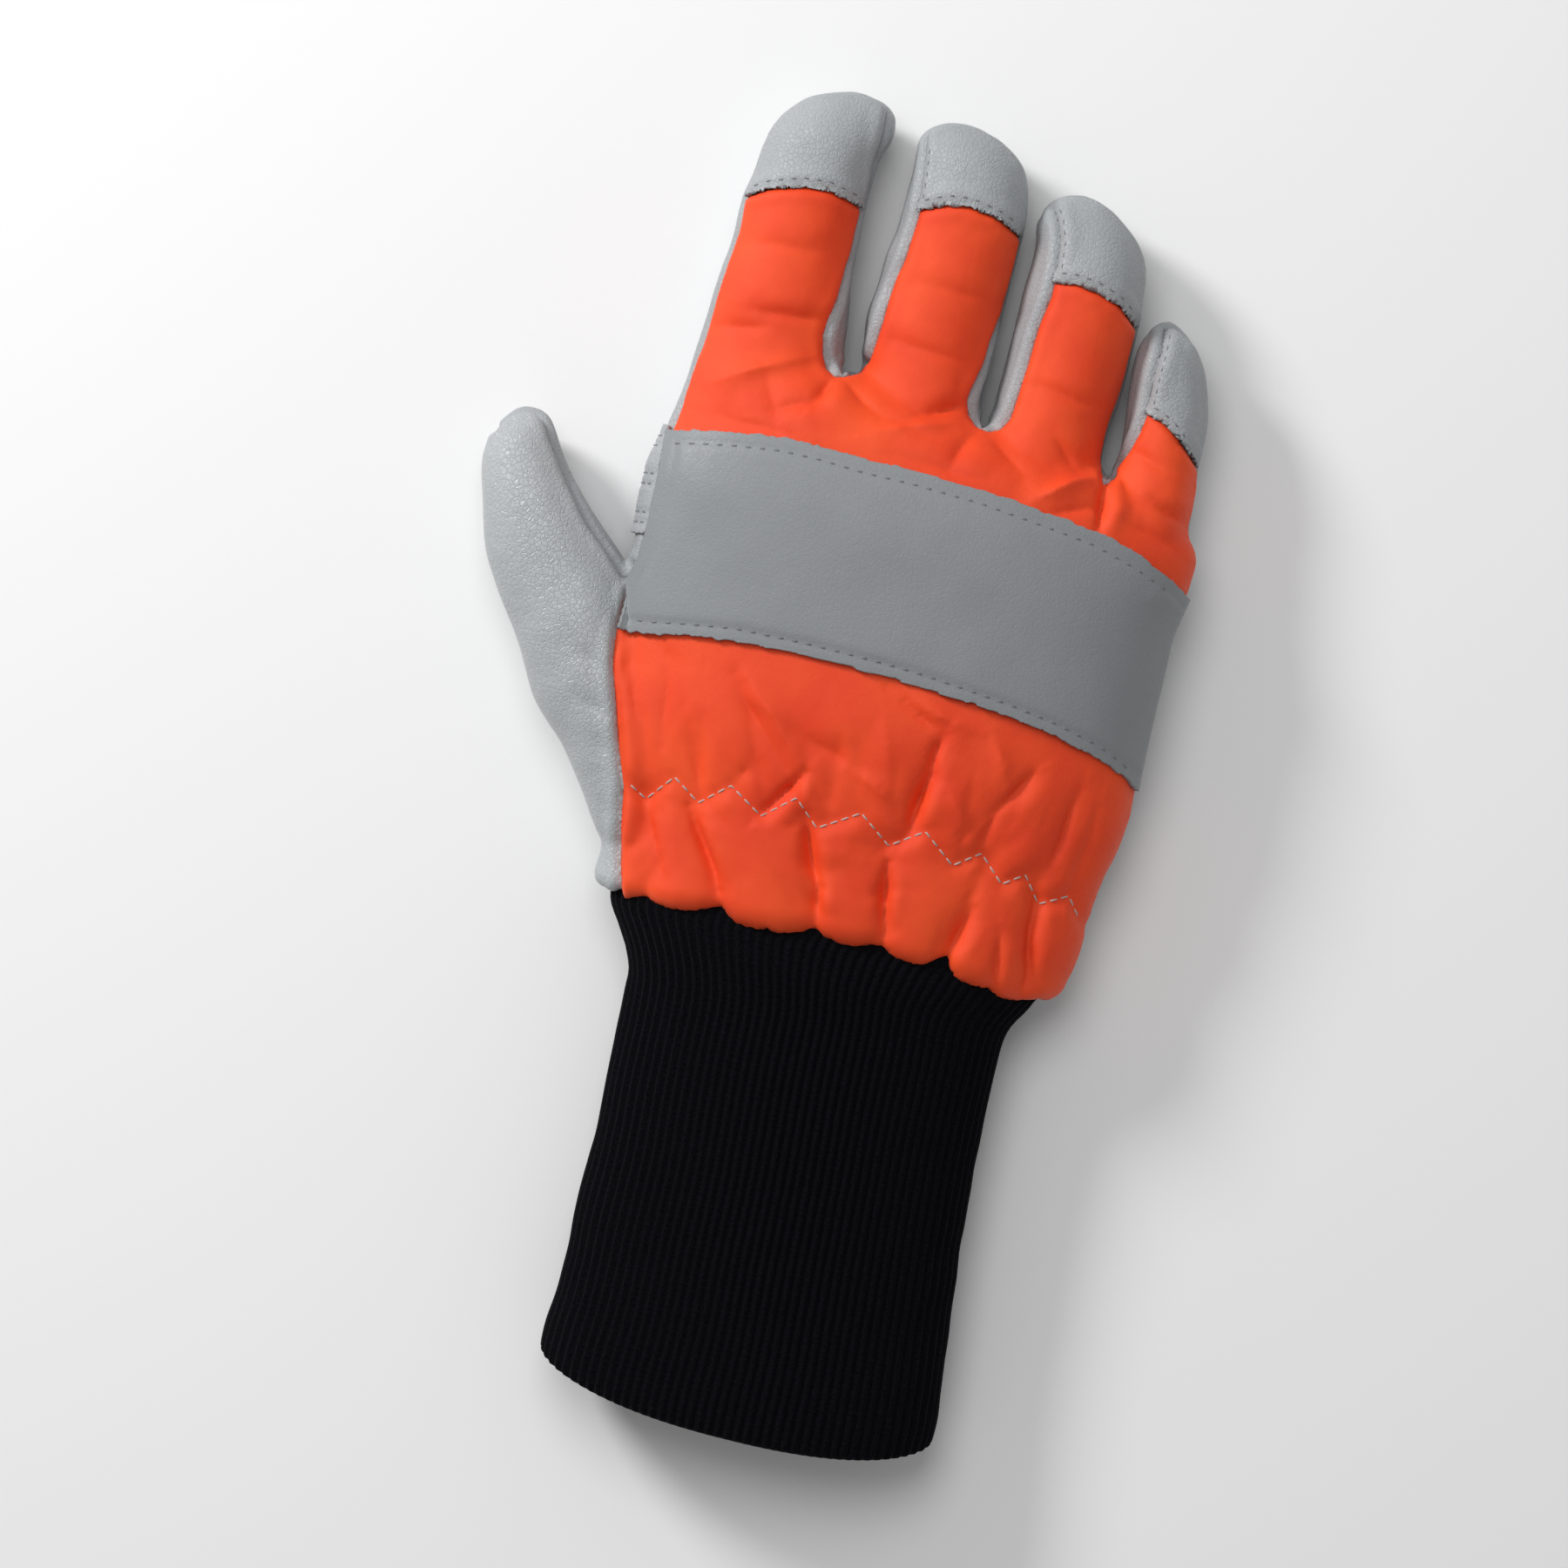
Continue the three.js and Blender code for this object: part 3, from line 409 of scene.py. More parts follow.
def split_at(v, f, field):
    """Cuts the triangles along field = 0. A vertex nearer to it than least counts as least above."""
    least = 0.03
    field = np.where(np.abs(field) < least, least, field)
    neg = field < 0
    code = neg[f].sum(axis=1)
    mixed = (code > 0) & (code < 3)
    keep, cut = f[~mixed], f[mixed]
    if not len(cut):
        return v, f, field
    lone_neg = neg[cut].sum(axis=1) == 1
    lone = np.where(lone_neg, np.argmax(neg[cut], axis=1), np.argmax(~neg[cut], axis=1))
    r = np.arange(len(cut))
    a, b, c = cut[r, lone], cut[r, (lone + 1) % 3], cut[r, (lone + 2) % 3]
    pairs = np.sort(np.vstack([np.stack([a, b], 1), np.stack([a, c], 1)]), axis=1)
    uniq, inv = np.unique(pairs, axis=0, return_inverse=True)
    inv = inv.reshape(-1)
    f0, f1 = field[uniq[:, 0]], field[uniq[:, 1]]
    t = (f0 / (f0 - f1))[:, None]
    between = v[uniq[:, 0]] * (1 - t) + v[uniq[:, 1]] * t
    ab, ac = len(v) + inv[: len(cut)], len(v) + inv[len(cut) :]
    new = np.vstack([np.stack([a, ab, ac], 1), np.stack([ab, b, c], 1), np.stack([ab, c, ac], 1)])
    field = np.concatenate([field, np.zeros(len(uniq))])
    return np.concatenate([v, between]), np.vstack([keep, new]), field


def compact(v, f):
    """Drops the vertices that no face uses."""
    used = np.unique(f)
    remap = -np.ones(len(v), int)
    remap[used] = np.arange(len(used))
    return v[used], remap[f]


def trimmed(v, f, field):
    """The part of a mesh where the field is above 0."""
    v, f, field = split_at(v, f, field)
    return compact(v, f[field[f].mean(axis=1) > 0])


def vertices_of(chosen, count):
    """A mask, of count vertices, of those that the chosen faces or edges use."""
    mask = np.zeros(count, bool)
    mask[chosen.ravel()] = True
    return mask


def kd_tree(points):
    tree = KDTree(len(points))
    for i, q in enumerate(points):
        tree.insert(q, i)
    tree.balance()
    return tree


# Everything that folds, gathers and creases.

HEM_TOP = [
    (-60, -1.5), (-45, -2), (-38, -2.3), (-31, -1.5), (-23, -0.3), (-20, -2), (-11, -1.7), (-3, -1),
    (2, -1.5), (9, -1), (15, -2.5), (20, -2.8), (25, -1.5), (29, -4), (35, -4.5), (39, -6), (43, -6.8),
    (47, -5), (60, -4),
]
ZIGZAG = [
    (-50, 22), (-44, 18.5), (-39, 24.3), (-33, 20), (-27, 25), (-19.5, 20), (-13, 25.3), (-7.5, 20),
    (1, 25), (8, 19.5), (15, 24), (22, 18.2), (27.5, 22), (33, 16.5), (37.5, 19.5), (41.5, 14), (47.5, 17),
    (51.5, 11.5),
]
# Gather lines: x at the hem, x at the zigzag, strength.
GATHER_LINES = [
    (-52, -54, 0.7), (-40, -44, 0.45), (-24, -34.5, 1), (-3.6, -11, 1), (11.2, 8.6, 0.9),
    (24.5, 28.5, 0.8), (42, 40.5, 0.8), (53, 54, 0.7),
]
# Folds above the zigzag: x at the zigzag, x at the strap, strength.
UPPER_LINES = [
    (-54, -58, 0.6), (-33, -37, 0.7), (-18.5, -30, 1), (-6, -6, 0.7), (11.4, 15, 1.1), (23, 22, 0.6),
    (30, 36, 0.8), (42, 46, 0.6), (54, 60, 0.6),
]
# Creases of the back: x1, y1, x2, y2, width, depth (below 0 is a ridge).
CREASES = [
    (-35.4, 19, -25, 2.4, 1.5, 1.5), (-10.4, 22, -4.2, 8, 1.5, 1.6), (-4.2, 8, -3.7, 2, 1.3, 1.2),
    (8.6, 16, 11.1, 1, 1.3, 1.5), (27.5, 10, 24, -2, 1.5, 1.3), (40.7, 15, 42.4, -3, 1.5, 1.3),
    (-44.5, 18, -36.5, 3, 1.8, 0.7), (34, 6, 35.6, -4, 1.4, 0.9), (14.8, 44, 13.2, 36, 1.4, 1.2),
    (13.2, 36, 11.6, 24.5, 1.5, 1.9), (-12.4, 31, -18.8, 21, 1.5, 1.8), (35, 40, 28.6, 31, 1.8, 1.2),
    (28.6, 31, 26.4, 22, 2, 0.8), (-31, 48, -17, 31, 2.2, 0.9), (-28, 48, -13.5, 32.5, 2.4, -0.7),
    (1, 52, 14, 44.5, 2.2, 0.9), (4, 50.5, 22, 47, 2.6, -0.6), (-15, 38.5, -3, 34, 4.2, 1.1),
    (-3, 34, 7, 29, 2.2, -0.7), (-38, 36, -33, 21, 2.4, 0.7), (-46, 48, -42, 30, 3, 0.6),
    (24, 48, 30, 36, 2.8, -0.6), (45, 40, 42, 22, 2.4, 0.8), (49, 36, 47, 18, 2.4, 0.7),
    (-24, 30, -26, 26, 2.2, 0.6), (2, 46, 6, 32, 3.2, -0.5), (18, 34, 24, 24, 2.4, -0.6),
    (37, 105, 37.6, 92.5, 1.5, 2), (23.5, 97.5, 35, 104.6, 2.2, -1.1), (26, 94.5, 36, 99, 2, 0.7),
    (-4.7, 109.6, 4.8, 114.6, 1.7, 0.9), (-12, 104, 4, 110, 3, -0.7), (-50, 107, -28.6, 117.4, 2.8, -0.7),
    (-24, 113.5, -26.4, 108, 1.6, 1.1), (-26.4, 108, -36, 104, 2.2, 0.6), (-22, 113.5, -12, 107.5, 2, 0.7),
    (-12, 107.5, 0, 105.5, 2.4, 0.5), (8, 108.8, 4, 100, 2.4, 0.7), (11, 108.5, 20, 101.5, 2.2, 0.6),
    (-44, 124.3, -28, 125, 1.7, 0.7), (-51, 119, -40, 121.5, 1.8, 0.5), (-13, 124, 2, 122.6, 1.8, 0.5),
    (-10, 137, 7, 136, 1.8, 0.35), (19, 121, 33, 119, 1.8, 0.5), (47.4, 102.4, 55.8, 98.8, 1.6, 0.9),
    (41, 112, 50, 109, 1.6, 0.5), (-47, 138, -30, 139.4, 2, 0.35), (42, 97, 55, 93, 2.2, 0.7),
    (-46, 101, -30, 99.6, 2.2, 0.5), (-8, 100, 12, 99.2, 2.2, 0.45), (-38, 112, -33, 100, 3, 0.5),
    (24, 112, 31, 104.5, 2, 0.6),
]
# Creases of the leather below: x1, y1, x2, y2, width, depth.
PALM_CREASES = [
    (-50, 128, -28, 126, 1.5, 1), (-49, 122, -27, 119.5, 1.3, 0.8), (-46, 113, -30, 111, 1.5, 0.7),
    (-18, 131, 6, 130, 1.3, 0.9), (-17, 126.5, 5, 124, 1.4, 1.1), (-15, 118, 4, 117, 1.3, 0.8),
    (11, 127, 34, 125, 1.4, 1), (12, 119.5, 33, 118.5, 1.3, 0.9), (13, 112, 32, 111, 1.4, 0.7),
    (40, 114, 54, 112, 1.2, 0.9), (40, 106, 54, 104, 1.3, 0.9), (-44, 56, -50, 42, 1.6, 1.6),
    (-38, 58, -44, 40, 2, 1.2), (-33, 52, -37, 36, 2.4, 0.8), (-20, 24, 22, 17, 1.8, 0.6),
    (-14, 15, 30, 9, 1.6, 0.6), (-24, 60, 10, 40, 3, 0.5), (12, 44, 42, 30, 2.4, 0.5),
    (-64, 52, -54, 47, 1.6, 0.8), (-66, 60, -58, 55, 1.6, 0.6), (-30, 12, -16, 8, 1.8, 0.6),
]
THUMB_CREASES = [
    (-58, 42, -66, 47, 2.2, 0.6), (-54, 34, -62, 36, 2, 0.6), (-52, 24, -57, 30, 1.8, 0.5),
    (-64, 56, -74, 60, 3, 0.35), (-49.6, 12, -55, 18, 1.8, 0.5), (-60, 62, -58, 50, 2, 0.6),
]


def segment_distance(p, x1, y1, x2, y2):
    ex, ey = x2 - x1, y2 - y1
    wx, wy = p[:, 0] - x1, p[:, 1] - y1
    t = np.clip((wx * ex + wy * ey) / (ex * ex + ey * ey), 0, 1)
    return np.hypot(wx - t * ex, wy - t * ey), t


def creases(p, rows, seed, width=1.0):
    """Folds along the rows' lines: a narrow valley with a soft swelling on one side of it."""
    wob = p[:, :2] + 0.6 * np.stack(
        [noise(p * [1, 1, 0], 7.0, seed), noise(p * [1, 1, 0], 7.0, seed + 1)], axis=1
    )
    out = np.zeros(len(p))
    for x1, y1, x2, y2, w, depth in rows:
        d, t = segment_distance(wob, x1, y1, x2, y2)
        w = w * width
        side = (x2 - x1) * (wob[:, 1] - y1) - (y2 - y1) * (wob[:, 0] - x1)
        signed = np.where(side > 0, d, -d)
        taper = 0.25 + 0.75 * np.sin(np.pi * np.clip(t, 0.06, 0.94))
        valley = np.exp(-np.abs(signed / w) ** 1.1)
        swelling = 0.36 * np.exp(-(((signed - 3.0 * w) / (2.6 * w)) ** 2))
        out += depth * taper * (swelling - valley)
    return out


def crinkle(p, size, seed, stretch=(1, 1, 1)):
    """Fine valleys along the lines where a noise is 0; they come and go."""
    line = noise(p * stretch, size, seed) + 0.4 * noise(p * stretch, 0.45 * size, seed + 1)
    share = step(-0.2, 0.5, noise(p, 1.7 * size, seed + 2))
    return -share * np.exp(-((line / 0.13) ** 2))


def bundles(x, xs, strengths):
    """Rounded swellings between neighbouring lines whose x positions are given per point."""
    out = np.zeros(len(x))
    for (xa, sa), (xb, sb) in zip(zip(xs[:-1], strengths[:-1]), zip(xs[1:], strengths[1:])):
        u = (x - xa) / np.maximum(xb - xa, 1e-6)
        m = (u > 0) & (u < 1)
        prof = np.clip(4 * u * (1 - u), 0, 1) ** 0.85
        out = np.where(m, prof * np.sqrt(np.maximum(xb - xa, 0) / 14.0) * 0.5 * (sa + sb), out)
    return out


def back_relief(p):
    x, y = p[:, 0], p[:, 1]
    low = step(27, 19, y)
    t = np.clip(y / 20.0, -0.3, 1.2)
    xs = [a + (b - a) * t for a, b, _ in GATHER_LINES]
    h = bundles(x, xs, [s for _, _, s in GATHER_LINES]) * low * (1.3 + 1.1 * step(18, -2, y))
    t2 = np.clip((y - 21) / 30.0, 0, 1)
    xs = [a + (b - a) * t2 for a, b, _ in UPPER_LINES]
    h += bundles(x, xs, [s for _, _, s in UPPER_LINES]) * step(18, 25, y) * step(50, 26, y) * 2.0
    h -= 1.1 * np.exp(-((polyline_distance(p, ZIGZAG) / 1.5) ** 2))
    h += creases(p, CREASES, 5)
    under_strap = step(50, 54, y) * step(99, 96, y)
    h += 0.28 * noise(p, 10.0, 11)
    h += np.where(y < STRAP_START, 0.4, 0.12) * crinkle(p, 15.0, 91, (1, 0.55, 1))
    return h * (1 - under_strap)


# The smooth body, its opening at the wrist, and its seams.

PATCH_LOW = [(-70, 71.5), (-53, 73.5), (-23, 72.4), (-3, 69), (16, 64.5), (40, 58), (56, 52), (70, 46)]
PATCH_HIGH = [(-70, 96), (-55, 96.8), (-18, 97), (7, 94.8), (20, 92), (42, 87), (58, 81), (70, 77)]
PATCH_LEFT = -60.5


def patch_band(x, y):
    """Distance inside the palm patch's band, and its lower and upper edges."""
    low, high = line_at(PATCH_LOW, x), line_at(PATCH_HIGH, x)
    band = np.minimum(y - low, high - y)
    return np.minimum(band, x - PATCH_LEFT), low, high


def patch_room(p):
    """The room left between the palm and the floor, where the patch lies."""
    return 1.35 * step(-9, 0.5, patch_band(p[:, 0], p[:, 1])[0])


def hem_distance(p):
    """How far each point lies from the wrist hem, above 0 towards the fingers."""
    top_hem = line_at(HEM_TOP, p[:, 0])
    under_hem = -1.0 - 0.03 * p[:, 0]
    return p[:, 1] - (under_hem + (top_hem - under_hem) * step(9, 17, p[:, 2]))


def even_rim(v, f, rounds):
    """The vertices with the open edge evened out: each is drawn to its two neighbours on it."""
    a, b = rim_of(f).T
    on = np.unique(a)
    for _ in range(rounds):
        total = np.zeros_like(v)
        np.add.at(total, a, v[b])
        np.add.at(total, b, v[a])
        v = v.copy()
        v[on] = 0.5 * v[on] + 0.25 * total[on]
    return v


def even_normals(v, f, hem):
    """The normals, evened out near the hem, where the cut leaves thin triangles."""
    n = smooth_mesh(normals_of(v, f), f, 6, step(5, 2, hem))
    return n / np.maximum(np.linalg.norm(n, axis=1, keepdims=True), 1e-9)


def smooth_body(voxel, rounds):
    """The glove's outer surface, open at the wrist hem, whose edge rolls under."""
    v, f = soft_union(body_parts(), voxel)
    web = step(90, 100, v[:, 1]) * step(126, 116, v[:, 1])
    root = np.exp(-(((v[:, 0] + 52) / 9) ** 2 + ((v[:, 1] - 40) / 30) ** 2))
    v = smooth_mesh(v, f, 3)
    v = smooth_mesh(v, f, rounds, np.clip(web + root, 0, 1))
    # The underside is pressed flat, softly over the last 1.2 mm, and sinks until it rests on the floor.
    soft = 1.2
    low = patch_room(v) + soft
    v[:, 2] = np.where(v[:, 2] < low, low - soft + soft * np.exp((v[:, 2] - low) / soft), v[:, 2])
    v[:, 2] = np.maximum(v[:, 2] - 0.06, 0)
    v, f = trimmed(v, f, hem_distance(v))
    v = even_rim(v, f, 4)
    n = even_normals(v, f, hem_distance(v))
    away = np.clip(HEM_ROLL - hem_distance(v), 0, HEM_ROLL)
    dip = HEM_ROLL - np.sqrt(np.maximum(HEM_ROLL**2 - away**2, 0))
    v = v - n * (dip * HEM_DIP)[:, None]
    return v, f


def rim_of(f):
    """The directed edges that only one face uses."""
    e = edges_of(f)
    _, inv, cnt = np.unique(np.sort(e, axis=1), axis=0, return_inverse=True, return_counts=True)
    return e[cnt[inv.reshape(-1)] == 1]


def polyline_distance(p, points):
    out = np.full(len(p), 1e9)
    for a, b in zip(points[:-1], points[1:]):
        out = np.minimum(out, segment_distance(p, *a, *b)[0])
    return out


# The gathered fabric: Blender's Cloth grows a coarse copy of the back panel between its seams.


def back_panel_copy():
    """A coarse back panel, without the caps."""
    v, f = smooth_body(CLOTH_VOXEL, rounds=5)
    v, f = trimmed(v, f, back_distance(v))
    _, caps, *_ = plan_fields(v[f].mean(axis=1))
    f = f[np.max(list(caps.values()), axis=0) < 0]
    return compact(v, f)


def cloth_shift():
    """The rest places of the coarse panel and how far the cloth moves them."""
    v, f = back_panel_copy()
    n = normals_of(v, f)
    edge = vertices_of(rim_of(f), len(v))
    zigzag = polyline_distance(v, ZIGZAG)
    start = v + n * (CLOTH_HINT * back_relief(v))[:, None]
    pinned = edge | (zigzag < 0.8) | (strap_field(v, False) > 2.0)
    loose = step(56, 48, v[:, 1]) + 0.32 * step(96, 101, v[:, 1])
    grow = np.clip(loose * step(0.0, 0.5, n[:, 2]), 0, 1)
    ob = add_object("panel", start * CLOTH_SCALE, f.tolist())
    ob.vertex_groups.new(name="pin").add(np.flatnonzero(pinned).tolist(), 1.0, "REPLACE")
    group = ob.vertex_groups.new(name="grow")
    for level in range(11):
        group.add(np.flatnonzero(np.round(grow * 10) == level).tolist(), level / 10, "REPLACE")
    mod = ob.modifiers.new("cloth", "CLOTH")
    settings = {
        "vertex_group_mass": "pin", "vertex_group_shrink": "grow",
        "shrink_min": 0.0, "shrink_max": -CLOTH_GROWTH, "quality": 5, "mass": 0.3,
        "tension_stiffness": 20, "compression_stiffness": 20, "shear_stiffness": 6,
        "bending_stiffness": CLOTH_BEND, "air_damping": 3,
        "use_pressure": True, "uniform_pressure_force": CLOTH_PRESSURE,
    }
    for key, value in settings.items():
        setattr(mod.settings, key, value)
    mod.settings.effector_weights.gravity = 0
    mod.collision_settings.use_collision = False
    scene = bpy.context.scene
    for frame_number in range(1, CLOTH_FRAMES + 1):
        scene.frame_set(frame_number)
    place = np.array([p.co[:] for p in taken(ob).vertices]) / CLOTH_SCALE
    scene.frame_set(1)
    shift = place - v
    length = np.linalg.norm(shift, axis=1, keepdims=True)
    return v, shift * np.minimum(1, CLOTH_CAP / np.maximum(length, 1e-9))


def carried_shift(v, mask):
    """The cloth's shift at the fine surface's vertices in mask."""
    coarse, shift = cloth_shift()
    tree = kd_tree(coarse)
    out = np.zeros_like(v)
    for i in np.flatnonzero(mask):
        near = tree.find_n(v[i], 5)
        w = np.array([1 / (hit[2] + 0.15) ** 2 for hit in near])
        out[i] = (w[:, None] * shift[[hit[1] for hit in near]]).sum(axis=0) / w.sum()
    return out


# The strap's and the patch's places.

STRAP_TOP = [
    (-70, 94.8), (-58, 95.2), (-54, 95.8), (-48, 96.8), (-41, 97.8), (-31, 98.7), (-23, 98.5), (-13, 97.7),
    (-3, 97.5), (12, 96.5), (27, 94.5), (37, 93), (47, 90), (54, 87), (57.5, 84.5), (70, 78),
]
STRAP_LOW = [
    (-70, 52), (-58, 52), (-51, 52.5), (-43, 53.7), (-33, 54.8), (-18, 54.8), (-3, 54.2), (7, 53.5),
    (17, 52.3), (27, 51), (37, 49.2), (47, 46.5), (53, 43.8), (57.2, 41), (70, 35),
]


def strap_field(p, rough=True):
    """Signed distance inside the knuckle strap; it laps over the thumb's side. rough: a cut edge."""
    x, y, _ = p.T
    ragged = 0.32 * noise(p * [1, 1, 0.3], 1.7, 71) + 0.2 * noise(p, 5.0, 72) if rough else 0
    band = np.minimum(y - line_at(STRAP_LOW, x), line_at(STRAP_TOP, x) - y) + ragged
    over_thumb = 0.8 * step(-48, -53, x) * step(68, 63, y)
    return np.minimum(band, back_distance(p) - 0.1 + over_thumb)


def patch_field(p, rough=True):
    """Signed distance inside the palm patch. rough: with a cut edge."""
    ragged = 0.2 * noise(p * [1, 1, 0.3], 1.9, 73) if rough else 0
    return np.minimum(patch_band(p[:, 0], p[:, 1])[0] + ragged, -back_distance(p) - 0.1)


NAMES = ["palm", "back_panel", "index_cap", "middle_cap", "ring_cap", "little_cap",
         "middle_front", "ring_front", "thumb_back"]
LABEL = {name: i for i, name in enumerate(NAMES)}

# The skin is cut along each seam in turn: the back's edge, the caps inside it, the rest outside it.
# Where a seam doesn't count, its field is pushed FAR from 0, so that a cut there leaves no slivers.
FAR = 9.0
MARGIN = 0.4
v, f = smooth_body(VOXEL, rounds=14)
for which in range(8):
    back, caps, mid, rng, thumb = plan_fields(v)
    cutting = [back, *caps.values(), mid, rng, thumb][which]
    if 1 <= which <= len(caps):
        uncut = np.where(np.abs(cutting) < FAR, np.sign(cutting) * FAR, cutting)
        cutting = np.where(back > -MARGIN, cutting, uncut)
    elif which > 0:
        cutting = np.where(back < MARGIN, cutting, -FAR)
    v, f, _ = split_at(v, f, cutting)
v, f = compact(v, f)
face_size = np.linalg.norm(np.cross(v[f[:, 1]] - v[f[:, 0]], v[f[:, 2]] - v[f[:, 0]]), axis=1)
f = f[face_size > 1e-7]

back, caps, mid, rng, thumb = plan_fields(v[f].mean(axis=1))
label = np.full(len(f), LABEL["palm"])
label[thumb > 0] = LABEL["thumb_back"]
label[rng > 0] = LABEL["ring_front"]
label[mid > 0] = LABEL["middle_front"]
label[back > 0] = LABEL["back_panel"]
for finger, cap in caps.items():
    label[(back > 0) & (cap > 0)] = LABEL[finger + "_cap"]

# Seams: the vertices where two labels meet, and how far each vertex is from them.
low_label = np.full(len(v), 99)
high_label = np.full(len(v), -1)
for k in range(3):
    np.minimum.at(low_label, f[:, k], label)
    np.maximum.at(high_label, f[:, k], label)
tree = kd_tree(v[low_label != high_label])
dist = np.array([tree.find(q)[2] for q in v.tolist()])

# The shape on the smooth skin: disp moves each vertex along its normal, carried is the cloth's shift.
n = even_normals(v, f, hem_distance(v))
is_back = vertices_of(f[label == LABEL["back_panel"]], len(v))
is_cap = vertices_of(f[np.isin(label, [LABEL[finger + "_cap"] for finger in caps])], len(v))
is_thumb = vertices_of(f[label == LABEL["thumb_back"]], len(v))
facing = step(0.0, 0.5, n[:, 2])
below = step(-0.2, -0.7, n[:, 2])
off_seam = step(0.05, 2.2, dist)
off_fold = step(0, 1.5, dist)
disp = np.zeros(len(v))
carried = smooth_mesh(carried_shift(v, is_back), f, 1)
carried *= step(0.0, 1.6, np.where(is_back, dist, 0))[:, None]
sharp = CREASE_AFTER * creases(v, CREASES, 5, CREASE_FINE)
sharp += np.where(v[:, 1] < STRAP_START, 0.18, 0.08) * crinkle(v, 15.0, 91, (1, 0.55, 1))
disp += np.where(is_back, sharp * off_seam * facing, 0)
pucker = noise(v, 2.6, 21) * np.exp(-dist / 3.0) * 0.22
disp += np.where(is_back, pucker, 0.5 * pucker)
disp += np.where(is_back | is_cap, 0, creases(v, PALM_CREASES, 31) * below * off_fold)
disp += np.where(is_thumb, 1.1 * creases(v, THUMB_CREASES, 41) * step(0.1, 0.6, n[:, 2]) * off_fold, 0)
worn = np.exp(-(((v[:, 0] + 53) / 9) ** 2)) * step(72, 50, v[:, 1]) + 0.5 * below
fine = 0.06 * crinkle(v, 6.0, 101, (0.6, 1, 1)) + 0.06 * crinkle(v, 3.0, 105)
disp += np.where(is_back | is_cap, 0, worn * fine)
disp += np.where(is_back, 0, 0.22 * noise(v, 11.0, 51) + 0.08 * noise(v, 4.5, 52))
# Each seam is a groove with a soft ridge on either side.
ridge = np.where(is_back, 0.28, 0.45)
disp -= 0.75 * np.exp(-((dist / 0.8) ** 2)) - ridge * np.exp(-(((dist - 2.2) / 1.4) ** 2))
rest = v.copy()
v = v + carried + n * disp[:, None]
v[:, 2] = np.maximum(v[:, 2], np.where(n[:, 2] < 0, np.minimum(patch_room(v), rest[:, 2]), 0.0))
n2 = even_normals(v, f, hem_distance(rest))


def shelled(v, f, n, out, into):
    """A closed shell round the faces f, from out above the surface to into below it."""
    used = np.unique(f)
    v, g = compact(v, f)
    k = len(used)
    top = v + n[used] * (out[used][:, None] if isinstance(out, np.ndarray) else out)
    bottom = v - n[used] * into
    a, b = rim_of(g).T
    sides = np.vstack([np.stack([b, a, a + k], 1), np.stack([b, a + k, b + k], 1)])
    return np.vstack([top, bottom]), np.vstack([g, g[:, ::-1] + k, sides])


# Materials. The lengths in them are metres.

THREAD_PERIOD = 0.00042
DIAGONAL_PERIOD = 0.0011
KNIT_PERIOD = 0.0013


def shader(name, color, rough, build):
    mat = bpy.data.materials.new(name)
    mat.use_nodes = True
    t = mat.node_tree
    bsdf = t.nodes["Principled BSDF"]
    bsdf.inputs["Base Color"].default_value = (*color, 1)
    bsdf.inputs["Roughness"].default_value = rough
    coords = t.nodes.new("ShaderNodeTexCoord").outputs["Object"]
    build(t, bsdf, coords)
    return mat


def math_node(t, op, a, b=None):
    nd = t.nodes.new("ShaderNodeMath")
    nd.operation = op
    for i, x in enumerate((a, b)):
        if x is None:
            continue
        if isinstance(x, (int, float)):
            nd.inputs[i].default_value = x
        else:
            t.links.new(x, nd.inputs[i])
    return nd.outputs[0]


def weighted(t, *terms):
    """The sum of sockets, each times its weight."""
    total = None
    for socket, weight in terms:
        part = math_node(t, "MULTIPLY", socket, weight)
        total = part if total is None else math_node(t, "ADD", total, part)
    return total


def wave(t, socket, period):
    return math_node(t, "SINE", math_node(t, "MULTIPLY", socket, 2 * math.pi / period))


def set_inputs(nd, values):
    for name, value in values.items():
        nd.inputs[name].default_value = value


def node(t, kind, links, values, output=0):
    """The output of a new node, with sockets linked to its inputs and values set on others."""
    nd = t.nodes.new("ShaderNode" + kind)
    for name, socket in links.items():
        t.links.new(socket, nd.inputs[name])
    set_inputs(nd, values)
    return nd.outputs[output]


def noise_node(t, coords, scale, detail=3.0, rough=0.55):
    values = {"Scale": scale, "Detail": detail, "Roughness": rough}
    return node(t, "TexNoise", {"Vector": coords}, values, "Fac")


def cell_edges(t, coords, scale):
    out = node(t, "TexVoronoi", {"Vector": coords}, {"Scale": scale}, "Distance")
    out.node.feature = "DISTANCE_TO_EDGE"
    return out


def mix_color(t, fac, a, b):
    nd = t.nodes.new("ShaderNodeMix")
    nd.data_type = "RGBA"
    t.links.new(fac, nd.inputs[0])
    nd.inputs[6].default_value = (*a, 1)
    nd.inputs[7].default_value = (*b, 1)
    return nd.outputs[2]


def ramp(t, fac, lo, hi):
    return node(t, "MapRange", {"Value": fac}, {"From Min": lo, "From Max": hi})


def bump(t, bsdf, height, strength, distance):
    out = node(t, "Bump", {"Height": height}, {"Strength": strength, "Distance": distance})
    t.links.new(out, bsdf.inputs["Normal"])


